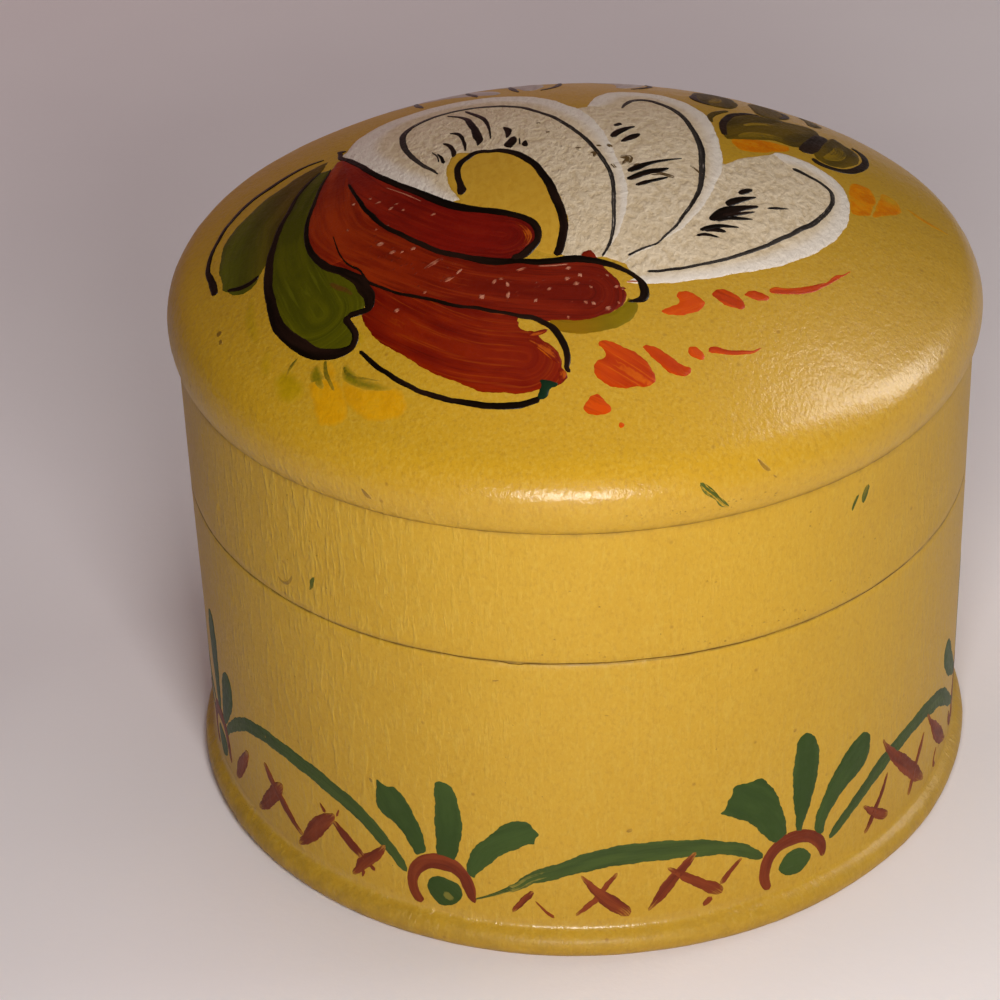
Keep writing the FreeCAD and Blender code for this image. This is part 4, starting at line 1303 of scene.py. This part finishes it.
def paint_bright_dabs():
    orange = brushed_paint("orange_paint", (216, 76, 1), (188, 54, 1), streak=1.5, dry_at=0.58,
                           gloss=0.4, light=(242, 128, 10), lines=0.3)
    dabs = Paint(on_dome, 1.2)
    for outline in ORANGE_DABS:
        dabs.blob(outline, unsteady=0.1)
    for line in ORANGE_STROKES:
        dabs.stroke(line, load=(1, 1, 0.55))
    dabs.piece("dabs_orange", orange)
    amber = wash("amber_wash", (232, 136, 0), (216, 116, 0), 0.45, gloss=0.2)
    patches = Paint(on_dome, 0.8, rim=0.4)
    for outline, dry in zip(AMBER_PATCHES, ((), (), ((33, 2.9, 1.0),))):
        patches.blob(outline, dry=dry)
    patches.stroke(((-4.5, -13.1, .25), (-4.1, -14.2, .45), (-4.7, -15.3, .3)), tint=0.9)
    patches.stroke(((34.75, 2.6, .3), (36, 1.6, .5), (37.5, 1.1, .45), (39, .8, .2)), load=(0.5, 0.7, 0.4))
    patches.piece("dabs_amber", amber)
    for name, outlines, streaks, full, shade, reach in (
            ("dabs_yellow", YELLOW_DABS, (), (232, 165, 0), (218, 153, 0), 0.7),
            ("dabs_olive", OLIVE_DABS, OLIVE_STREAKS, (196, 156, 0), (184, 146, 0), 1.0)):
        light = Paint(on_dome, 0.6, rim=0.4)
        for outline in outlines:
            light.blob(outline, unsteady=0.15)
        for line in streaks:
            light.stroke(line, load=(0.6, 0.8, 0.6))
        light.piece(name, wash(name + "_wash", full, shade, reach))
    paint_strokes("dabs_green", wash("green_wash", (112, 104, 0), (136, 118, 0), 0.7), 1.2, GREEN_DABS,
                  load=(1, 1, 0.5), rim=0.3)
    # painted shadow beside the raised green dabs
    paint_strokes("dab_shadows", wash("dab_shadow_wash", (76, 80, 2), (94, 88, 2), 0.15), 1.6,
                  DAB_SHADOW_STREAKS, load=(1, 0.8, 0.4), rim=0.2)
    pale = brushed_paint("pale_fleck_paint", (204, 134, 106), (170, 88, 58), streak=2.0, dry_at=0.36,
                         ground=(124, 34, 12), gloss=0.5, lines=0)
    flecks = Paint(on_dome, 3.2)
    for from_x, from_y, to_x, to_y, width in WORN_FLECKS:
        (x, y), (end_x, end_y) = seen_at((from_x, from_y), (to_x, to_y))
        half = 1.4 * round(PIXEL_WIDTH * width, 2)
        flecks.stroke(((x, y, .1), ((x + end_x) / 2, (y + end_y) / 2, half), (end_x, end_y, .1)),
                      load=(0.55, 0.95, 0.5), unsteady=0.1)
    for x in rng.uniform(-20, 4, SMALL_FLECKS):
        y = np.interp(x, *WORN_RUN) + rng.normal(0, 1.4)
        flecks.stroke(((x - .15, y - .08, .04), (x, y, rng.uniform(0.06, 0.12)), (x + .15, y + .08, .04)),
                      load=(0.3, rng.uniform(0.3, 0.65), 0.3))
    flecks.stroke(((5.2, -21, .07), (5.8, -20.95, .14), (6.5, -20.9, .07)))
    flecks.stroke(((-3.3, -18.8, .06), (-1.8, -18.85, .09), (-.4, -18.7, .06)))
    flecks.stroke(((-18.7, -1.7, .05), (-17, -3.6, .08), (-15, -6, .05)))
    flecks.piece("petal_flecks", pale)


# ---- Ornament round the box body -------------------------------------------------------------------
SPRIGS = 7
SPRIG_SPACING = 2 * math.pi * wall_radius / SPRIGS
FIRST_SPRIG_ARC = -15.0
SPRIG_STRAYS = (0, .35, .4, -.5, .3, -.2, -.15)     # how far each sprig sits off its even place

FAN_LEAVES = (
    (((-1.7, 11.2), (-1.9, 13), (-2.5, 15), (-3.5, 17), (-5, 18.6), (-5.6, 18.4), (-6.4, 18.5),
      (-7, 18.7), (-7.2, 17.5), (-7.4, 16), (-6.9, 14.8), (-5.5, 13.9), (-4.3, 12.8), (-3.4, 11.3),
      (-2.9, 10.4)), ((-2.2, 10.6), (-3.6, 13.4), (-6.4, 18.4))),
    (((-.4, 11), (-.6, 13), (-.6, 15), (-.5, 18), (-.4, 20), (-.2, 20.6), (.4, 20.9), (1.2, 20.6),
      (1.6, 20.2), (2.1, 18.5), (2.4, 17), (2.4, 15), (2.1, 13), (1.4, 11), (.5, 10.4)),
     ((.4, 10.6), (.8, 15), (.6, 20.6))),
    (((2.7, 9.6), (2.7, 11), (3.4, 12.8), (4.5, 14.2), (6, 15.8), (7.2, 16.9), (8.5, 17.3),
      (9.2, 17.1), (9.8, 16.3), (10.3, 15.6), (10, 14.9), (9.9, 14.3), (9.2, 14.2), (8, 13.5),
      (6.5, 12.5), (5, 11), (4, 9.8), (3.4, 9)), ((3, 9.2), (5.2, 13), (10, 15.8))))
BROAD_LEAVES = (
    (((-2.7, 10.2), (-3.8, 11.5), (-4.8, 12.9), (-6, 14.2), (-7.4, 15.2), (-8.4, 15.8), (-9, 16.1),
      (-8.3, 16.6), (-8, 17.6), (-7.6, 18), (-7.5, 19.1), (-6.6, 19.3), (-5.4, 19.1), (-4.4, 19.3),
      (-3.7, 18.7), (-2.8, 17.2), (-2.1, 15.6), (-1.6, 13.9), (-1.3, 12.4), (-1.2, 10.8)),
     ((-1.9, 10.4), (-4, 14.4), (-7.6, 17.8))),
    (((.1, 10.6), (-.2, 12.5), (-.4, 14.5), (-.6, 17), (-.5, 19), (-.3, 21), (.1, 22.4), (.9, 22.8),
      (1.9, 22.3), (2.6, 20.5), (2.8, 18.5), (2.4, 16), (1.8, 13.5), (1, 11.6), (.7, 10.4)),
     ((.4, 10.6), (.9, 16), (1, 22.4))),
    (((2.4, 9.4), (2.4, 11), (2.9, 12.6), (3.8, 14.4), (4.8, 16), (6, 17.4), (7.4, 18.5),
      (8.8, 19.1), (9.8, 18.5), (10.1, 17), (9.9, 15.5), (9, 14.5), (7.4, 13.6), (5.9, 12.7),
      (4.8, 11.6), (4, 10.4), (3.4, 8.8)), ((3, 9.2), (5, 13.6), (9.4, 18))))
ARCHES = (
    ((-2.6, 4.2, .6), (-3.4, 5.8, .62), (-3.4, 7.5, .65), (-2.7, 9, .8), (-1.5, 10, .95),
     (0, 10.3, 1.1), (1.3, 10, .95), (2.3, 9, .75), (2.8, 7.7, .7), (3.1, 6.4, .45),
     (3.4, 5.7, .2)),
    ((-3.2, 4.3, .4), (-3.7, 5.5, .6), (-3.7, 7, .68), (-3.2, 8.6, .75), (-2.1, 9.6, .85),
     (-.7, 9.9, .95), (.7, 9.7, .85), (2, 9, .75), (3, 7.9, .7), (3.5, 6.7, .55), (3.5, 5.7, .3)))
DOTS = (
    ((-1.9, 6.6), (-1.5, 7.7), (-.6, 8.4), (.6, 8.3), (1.7, 7.8), (2.1, 6.8), (1.8, 5.6), (.9, 4.8),
     (-.3, 4.5), (-1.3, 5.2)),
    ((-2.1, 6.5), (-1.8, 7.5), (-1, 8.3), (0, 8.4), (1, 8), (1.7, 7.2), (2.1, 6.6), (1.5, 5.6),
     (.6, 5), (-.6, 5), (-1.6, 5.6)))
SWAGS = (
    ((-50.5, 8.2, .35), (-48.6, 10.7, .55), (-46.5, 12.5, .75), (-44, 14.4, .85), (-41.5, 15.5, .95),
     (-39, 16.1, 1.0), (-36, 16.3, 1.0), (-33, 16.05, 1.05), (-30, 15.55, 1.1), (-27.5, 14.7, 1.1),
     (-25, 13.7, 1.05), (-23, 12.2, .95), (-21, 10.3, .8), (-19.6, 8.5, .55), (-19.1, 7.8, .3)),
    ((-8.2, 8, .35), (-7, 8.7, .5), (-5.8, 9.7, .75), (-4.5, 10.3, .9), (-3, 10.9, .95),
     (-1.5, 11.5, 1.05), (0, 12.05, 1.2), (2, 12.6, 1.3), (4, 12.85, 1.35), (6, 12.9, 1.35),
     (8, 12.8, 1.3), (10, 12.6, 1.2), (12, 12.2, 1.1), (14, 11.65, .9), (16, 10.8, .8),
     (17.5, 9.7, .7), (18.6, 8.8, .4)),
    ((27, 7.6, .35), (28.6, 8.9, .75), (30.2, 10.1, .8), (32, 11.3, .9), (34, 12.55, 1.1),
     (36, 13.4, 1.1), (38, 13.85, 1.05), (40, 14.15, 1.05), (42, 14.25, 1.05), (44, 14.2, 1.1),
     (46, 13.65, 1.2), (48, 13.05, 1.15), (50, 11.9, 1.05), (52, 10.3, .9), (54, 8.6, .7),
     (56, 7.2, .5), (57.5, 6.3, .3)))
SWAG_LOADS = ((0.8, 1, 1, 0.9), (0.38, 0.7, 1, 1, 0.95, 0.85), (0.8, 1, 1, 1))
SWAG_TAIL = ((-11.6, 6.2, .1), (-10.2, 6.9, .15), (-8.8, 7.7, .25), (-7.6, 8.4, .35))
CROSSES = (
    (((-47.3, 5.1, .35), (-46, 7, .85), (-44.6, 9, .8), (-43, 11.2, .35)),
     ((-41.4, 4.9, .3), (-40, 6.3, .7), (-38.6, 8, .9), (-37.4, 9.6, .9), (-36, 11.3, .35)),
     ((-39.3, 12.3, .3), (-38.2, 10.8, .6), (-36.8, 9.4, .6), (-35.4, 8, .6), (-33.8, 6.5, .35),
      (-33, 6.2, .2)),
     ((-33.9, 4.6, .2), (-32.6, 6, .7), (-31.2, 7.9, 1.0), (-29.8, 9.7, .95), (-28.5, 11, .5),
      (-28, 11.6, .15)),
     ((-30, 12.2, .12), (-29.3, 11.2, .3)), ((-27.3, 12.6, .1), (-27.7, 11.5, .15)),
     ((-28.2, 10.7, .35), (-27.4, 9.9, .55), (-26.3, 9, .7), (-25.2, 8.2, .65), (-24.3, 7.4, .5)),
     ((-26, 4.7, .2), (-25.3, 5.6, .45), (-24.4, 6.9, .75), (-23.2, 8.2, .65), (-22.2, 9.3, .5),
      (-21.5, 10.4, .15)),
     ((-24.7, 4.9, .12), (-24.5, 6, .25)), ((-23.6, 7, .3), (-23, 6.4, .25))),
    (((-7.7, 5.2, .15), (-6.9, 6.3, .35), (-6.1, 7.4, .4), (-5.5, 8.2, .2)),
     ((-5.3, 6.9, .08), (-4.3, 5.6, .15), (-3.4, 4.8, .2)),
     ((-1.2, 5.1, .2), (0, 6.3, .3), (1, 7.4, .35), (2, 9, .3), (3.1, 10.6, .15)),
     ((-.6, 10.4, .1), (.2, 9.3, .35), (1, 8.2, .6), (2, 7.1, .85), (3, 6.2, .85), (3.8, 5.4, .75),
      (4.2, 4.8, .5)),
     ((6.2, 5.2, .15), (7, 6.3, .45), (8, 7.8, .65), (9, 9.2, .65), (10, 10.4, .5),
      (11.2, 11.9, .25)),
     ((8.2, 10.5, .2), (9.3, 9.6, .4), (10.5, 8.6, .55), (11.8, 7.6, .65), (13.2, 6.6, .75),
      (14, 5.8, .4)),
     ((12, 4.6, .3), (12.9, 5.6, .4)), ((13.8, 7, .35), (15, 8.4, .3), (16.2, 9.7, .15))),
    (((32.4, 5.2, .35), (33.2, 6.2, .4), (34.2, 7.7, .4), (35, 9, .35), (36, 11.2, .15)),
     ((32, 9.1, .1), (33, 8, .4), (34.2, 7, .55), (35.3, 6, .65), (36.3, 5.3, .4)),
     ((40.5, 5.2, .3), (41.2, 6.6, .4), (42.1, 8.5, .35), (43.2, 10.3, .35), (43.8, 11.5, .15)),
     ((34.9, 16.2, .1), (35.6, 14.8, .35), (36.8, 13.2, .6), (38.2, 11.5, .85), (39.8, 9.7, .95),
      (41.3, 8, .95), (42.6, 6.6, .8), (43.6, 5.6, .45), (44.1, 5, .2)),
     ((44.6, 13.3, .15), (45.8, 11.5, .35), (46.9, 10, .75), (48.2, 8.4, 1.0), (49.5, 7, .95),
      (50.8, 5.9, .6), (52, 4.9, .2)),
     ((47.7, 4.2, .4), (47.3, 5.3, .15), (48, 6.5, .15)),
     ((53.8, 7, .3), (54.6, 5.6, .7), (56, 4.4, .5))))
SEEN_SPRIGS = 2         # the sprigs that FAN_LEAVES and BROAD_LEAVES describe
FRONT_GAPS = 3          # the gaps between sprigs that CROSSES and SWAGS describe
SLIM_LEAVES = (
    ((-1.2, 9.6, .4), (-2.9, 10.8, .6), (-5.4, 12.8, 1.1), (-7.4, 14.8, 1.5), (-8.8, 16.8, 1.6),
     (-9.5, 18.9, .9)),
    ((.2, 10.6, .5), (.2, 13.4, 1.0), (.1, 17, 1.5), (.2, 20.8, 1.7), (.5, 24.2, 1.0)),
    ((1.8, 10.2, .5), (2.8, 12.2, 1.1), (3.9, 14.6, 1.7), (4.7, 17, 1.6), (5.3, 18.8, .9)))


def moved(places, arc):
    """Places, or a stroke's points, moved round the wall."""
    return [(place[0] + arc, *place[1:]) for place in places]


def paint_border():
    green = brushed_paint("leaf_green_paint", (66, 88, 34), (54, 76, 26), streak=1.4, dry_at=0.48,
                          ground=(128, 122, 48), gloss=0.5, coat=0.02, lines=0.15)
    swag_green = brushed_paint("swag_green_paint", (74, 92, 36), (60, 78, 30), streak=1.4, dry_at=0.45,
                               ground=(150, 136, 54), gloss=0.5, coat=0.02, lines=0.15)
    russet = brushed_paint("russet_paint", (144, 62, 22), (116, 42, 14), streak=1.6, dry_at=0.42,
                           ground=(176, 118, 40), gloss=0.5, coat=0.02)
    leaves, dots = Paint(on_wall, 1.6), Paint(on_wall, 1.2)
    arches, swags, crosses = Paint(on_wall, 2.2), Paint(on_wall, 1), Paint(on_wall, 2.6)
    for number in range(SPRIGS):
        centre = FIRST_SPRIG_ARC + SPRIG_SPACING * number + SPRIG_STRAYS[number]
        kind = number % 2
        if number < SEEN_SPRIGS:
            for outline, spine in (FAN_LEAVES, BROAD_LEAVES)[kind]:
                leaves.closed(moved(outline, centre), moved(spine, centre), unsteady=0.1)
        else:
            for spine in SLIM_LEAVES:
                leaves.stroke(moved(spine, centre), unsteady=0.12)
        arches.stroke(moved(ARCHES[kind], centre), load=(0.85, 1, 1, 1, 0.6))
        worn_hole = ((centre + .4, 5.9, .6),) if number == 0 else ()
        dots.blob(moved(DOTS[kind], centre), dry=worn_hole)
    for number in range(SPRIGS):
        gap = number % FRONT_GAPS
        turns = number // FRONT_GAPS
        arc = turns * FRONT_GAPS * SPRIG_SPACING
        swags.stroke(moved(SWAGS[gap], arc), load=SWAG_LOADS[gap], unsteady=0.1)
        if gap == 1:
            swags.stroke(moved(SWAG_TAIL, arc), load=(0.6, 0.7))
        for line in CROSSES[gap]:
            crosses.stroke(moved(line, arc), load=(0.35, 0.85, 1, 0.8, 0.35), unsteady=0.09)
    for paint, name, material in ((leaves, "border_leaves", green), (dots, "border_dots", green),
                                  (arches, "border_arches", russet), (swags, "border_swags", swag_green),
                                  (crosses, "border_crosses", russet)):
        paint.piece(name, material, "box_body", "painted_body_wood")


# ---- Small marks of age ---------------------------------------------------------------------------
GRAIN_RIDGES = (
    ((-20.3, 49.8, .05), (-20.5, 46, .11), (-20.45, 43.6, .14), (-20.6, 40.2, .05)),
    ((-33.4, 47.8, .05), (-33.7, 45.6, .13), (-33.85, 43.6, .05)),
    ((-29.9, 47.4, .05), (-29.95, 45.6, .12), (-29.85, 44.1, .05)),
    ((-47.4, 48.8, .05), (-47.4, 47.8, .12), (-47.35, 46.8, .05)),
    ((-38.4, 42.1, .05), (-38.4, 41.1, .12), (-38.3, 40.1, .05)),
    ((-18.9, 42, .05), (-18.8, 41.4, .1), (-18.6, 40.6, .05)))
LID_GREEN_MARKS = (
    ((28.66, 47.35, .12), (28.9, 48, .22), (29.5, 48.9, .18)),
    ((30.16, 47.6, .2), (30.4, 48.5, .42), (30.85, 49.5, .3)),
    ((11.4, 56.4, .2), (12, 55.6, .4), (12.6, 55, .34), (13, 54.5, .26), (13.5, 53.8, .38),
     (14.2, 53.1, .12)),
    ((-28.1, 41.3, .06), (-28.5, 40.6, .26), (-28.6, 40, .22), (-28.9, 39.5, .08)))
LID_BROWN_MARKS = (
    ((-33.6, 39.1, .08), (-33, 38.7, .17), (-32.2, 38.8, .22), (-31.4, 39.8, .17), (-31.3, 40.2, .06)),
    ((17.3, 57.4, .1), (18, 56.4, .24), (18.5, 56, .1)), ((18.6, 55.6, .08), (19.1, 55.1, .14)),
    ((31.6, 55.4, .18), (31.8, 55.5, .18)), ((-20.9, 54.6, .12), (-20.2, 53.8, .3), (-19.8, 53.6, .12)),
    ((37.4, 52.3, .1), (37.7, 52.2, .1)))
BODY_BROWN_MARKS = (
    ((-8.9, 34.3, .08), (-8.4, 34.35, .13), (-8, 34.5, .06)),
    ((-23, 18.7, .08), (-22.7, 18.3, .26), (-22.5, 18.1, .1)),
    ((4, 15.8, .14), (4.4, 15.9, .28), (4.6, 16.2, .1)), ((6.7, 15, .1), (6.9, 15, .1)),
    ((2, 30.5, .06), (2.6, 30.4, .1)), ((-13.6, 27.2, .1), (-13.4, 27.1, .12)))
LID_TOP_MARKS = (
    ((-35.3, -15.7, .25), (-35.1, -16.6, .34)), ((-35, -17, .15), (-34.9, -17.9, .22)),
    ((35.6, -13.6, .12), (35.7, -13.8, .12)), ((-20.4, -31.8, .12), (-20.3, -31.9, .12)))
# where small brown specks fall on the lid: arcs from and to, heights from and to, and how many
SPECK_FIELDS = ((3, 19, 53, 54, 22), (-4, 33, 37.2, 38.4, 26), (-35, 40, 38, 50, 40))
BODY_SPECKS = 34
FINE_FIBRES = 16        # small raised fibres on each of the two walls
FIBRE_ARC = -52         # how far round to the left they go
FIBRE_CROWDING = 0.8    # under 1, they lie closer together towards that end


def paint_marks(ochre):
    """Raised fibres under the ochre, and stray touches of green and brown on it."""
    for name, body, slot, low, high, raised in (
            ("lid_grain_ridges", "lid", "painted_lid_wood", 38, 49, GRAIN_RIDGES),
            ("body_grain_ridges", "box_body", "painted_body_wood", 26, 35, ())):
        fibres = Paint(on_wall, 1.4, rim=0.2)
        for line in raised:
            fibres.stroke(line)
        for _ in range(FINE_FIBRES):
            arc, height = FIBRE_ARC * rng.uniform() ** FIBRE_CROWDING, rng.uniform(low, high)
            reach = rng.uniform(0.4, 1.5)
            fibres.stroke(((arc, height - reach, .04),
                           (arc + rng.normal(0, .06), height, rng.uniform(0.07, 0.12)),
                           (arc + rng.normal(0, .08), height + reach, .04)))
        fibres.piece(name, ochre, body, slot)
    dark = brushed_paint("stray_green_paint", (70, 84, 24), (104, 106, 36), streak=2.0, dry_at=0.4,
                         gloss=0.5, coat=0.02)
    brown = wash("stray_brown_wash", (96, 64, 24), (124, 86, 34), 0.08, 0.85)
    paint_strokes("lid_green_marks", dark, 1, LID_GREEN_MARKS, load=(0.8, 0.6), surface=on_wall)
    brown_on_lid = Paint(on_wall, 1)
    for line in LID_BROWN_MARKS:
        brown_on_lid.stroke(line, load=(0.9, 0.6))
    for left, right, low, high, count in SPECK_FIELDS:
        for _ in range(count):
            arc, height = rng.uniform(left, right), rng.uniform(low, high)
            reach = rng.uniform(0.06, 0.25)
            brown_on_lid.stroke(((arc - reach, height, .05), (arc, height + .05, .12),
                                 (arc + reach, height, .05)), load=(0.4, rng.uniform(0.4, 1), 0.4))
    brown_on_lid.piece("lid_brown_marks", brown)
    on_body = Paint(on_wall, 1)
    for line in BODY_BROWN_MARKS:
        on_body.stroke(line, load=(0.8, 0.5))
    for _ in range(BODY_SPECKS):
        arc, height = rng.uniform(-60, 70), rng.uniform(4, 34)
        reach = rng.uniform(0.06, 0.22)
        on_body.stroke(((arc, height - reach, .05), (arc, height, .1), (arc, height + reach, .05)),
                       load=(0.4, rng.uniform(0.4, 1), 0.4))
    on_body.piece("body_brown_marks", brown, "box_body", "painted_body_wood")
    paint_strokes("lid_top_marks", brown, 1, LID_TOP_MARKS, load=(1, 1, 0.7))


# ---- Stage, light and camera ------------------------------------------------------------------------
NEAREST, FARTHEST = 0.01, 20      # metres from the camera between which things are drawn

# name, azimuth and elevation as seen from the box (azimuth 0 is the front, 90 the right),
# distance, width and height in metres, watts, colour, and whether the light lights paint and
# shines in it
LIGHTS = (
    ("key", 5, 28, 0.20, 0.05, 0.05, 0.276, (1.0, 0.98, 0.96), True, False),
    ("front", -1, 7, 0.55, 0.21, 0.05, 2.1, (1.0, 0.98, 0.95), False, True),
    ("right", 104, 26, 0.60, 0.34, 0.30, 0.88, (1.0, 0.98, 0.95), True, False),
    ("right_shine", 99, 34, 0.60, 0.20, 0.50, 3.5, (1.0, 0.97, 0.93), False, True),
    ("above", 180, 76, 0.75, 0.50, 0.50, 1.27, (1.0, 0.98, 0.96), True, False),
    ("behind", 205, 12, 0.60, 0.60, 0.30, 0.55, (1.0, 0.40, 0.42), True, False),
    ("behind_shine", 200, 0, 0.60, 0.60, 0.20, 0.08, (1.0, 0.40, 0.42), False, True),
)
AIM_HEIGHT = 0.035                # metres above the floor that the lights point at
ROOM_COLOUR = (0.86, 0.80, 0.82, 1)
ROOM_STRENGTH = 0.022
FLOOR_REACH = 1500.0


def make_lights():
    for name, azimuth, elevation, distance, width, height, watts, colour, lit, shine in LIGHTS:
        data = bpy.data.lights.new(name + "_light", "AREA")
        data.shape = "RECTANGLE"
        data.size, data.size_y = width, height
        data.energy = watts
        data.color = colour
        lamp = bpy.data.objects.new(name + "_light", data)
        a, e = math.radians(azimuth), math.radians(elevation)
        way = Vector((math.sin(a) * math.cos(e), -math.cos(a) * math.cos(e), math.sin(e)))
        lamp.location = Vector((0, 0, AIM_HEIGHT)) + way * distance
        lamp.rotation_euler = way.to_track_quat("Z", "Y").to_euler()
        lamp.visible_diffuse, lamp.visible_glossy = lit, shine
        bpy.context.scene.collection.objects.link(lamp)
    world = bpy.data.worlds.new("soft_room")
    world.use_nodes = True
    sky = world.node_tree.nodes["Background"]
    sky.inputs["Color"].default_value = ROOM_COLOUR
    sky.inputs["Strength"].default_value = ROOM_STRENGTH
    bpy.context.scene.world = world


def make_floor():
    corners = [(x * FLOOR_REACH, y * FLOOR_REACH, 0) for x, y in ((-1, -1), (1, -1), (1, 1), (-1, 1))]
    mesh = bpy.data.meshes.new("floor")
    mesh.from_pydata([Vector(c) * MM for c in corners], [], [(0, 1, 2, 3)])
    mesh.materials.append(pale_floor())
    floor = bpy.data.objects.new("floor", mesh)
    bpy.context.scene.collection.objects.link(floor)


def make_camera():
    right, up, forward = camera_axes()
    data = bpy.data.cameras.new("camera")
    data.lens = CAMERA_LENS
    data.sensor_width = SENSOR_WIDTH
    data.clip_start, data.clip_end = NEAREST, FARTHEST
    camera = bpy.data.objects.new("camera", data)
    camera.matrix_world = (Matrix.Translation(Vector(CAMERA_PLACE) * MM)
                           @ Matrix((right, up, -forward)).transposed().to_4x4())
    bpy.context.scene.collection.objects.link(camera)
    bpy.context.scene.camera = camera


ochre = ochre_paint()
finishes = [ochre, seam_grime_and_shade(), bare_wood()]
shell("box_body_turned", body_runs(), "box_body", "box_body", finishes)
shell("lid_turned", lid_runs(), "lid", "lid", finishes)
paint_white_petals()
paint_leaves()
paint_red_petals()
paint_far_leaves()
paint_liners()
paint_bright_dabs()
paint_border()
paint_marks(ochre)
make_floor()
make_lights()
make_camera()
bpy.context.scene.view_settings.view_transform = "Standard"
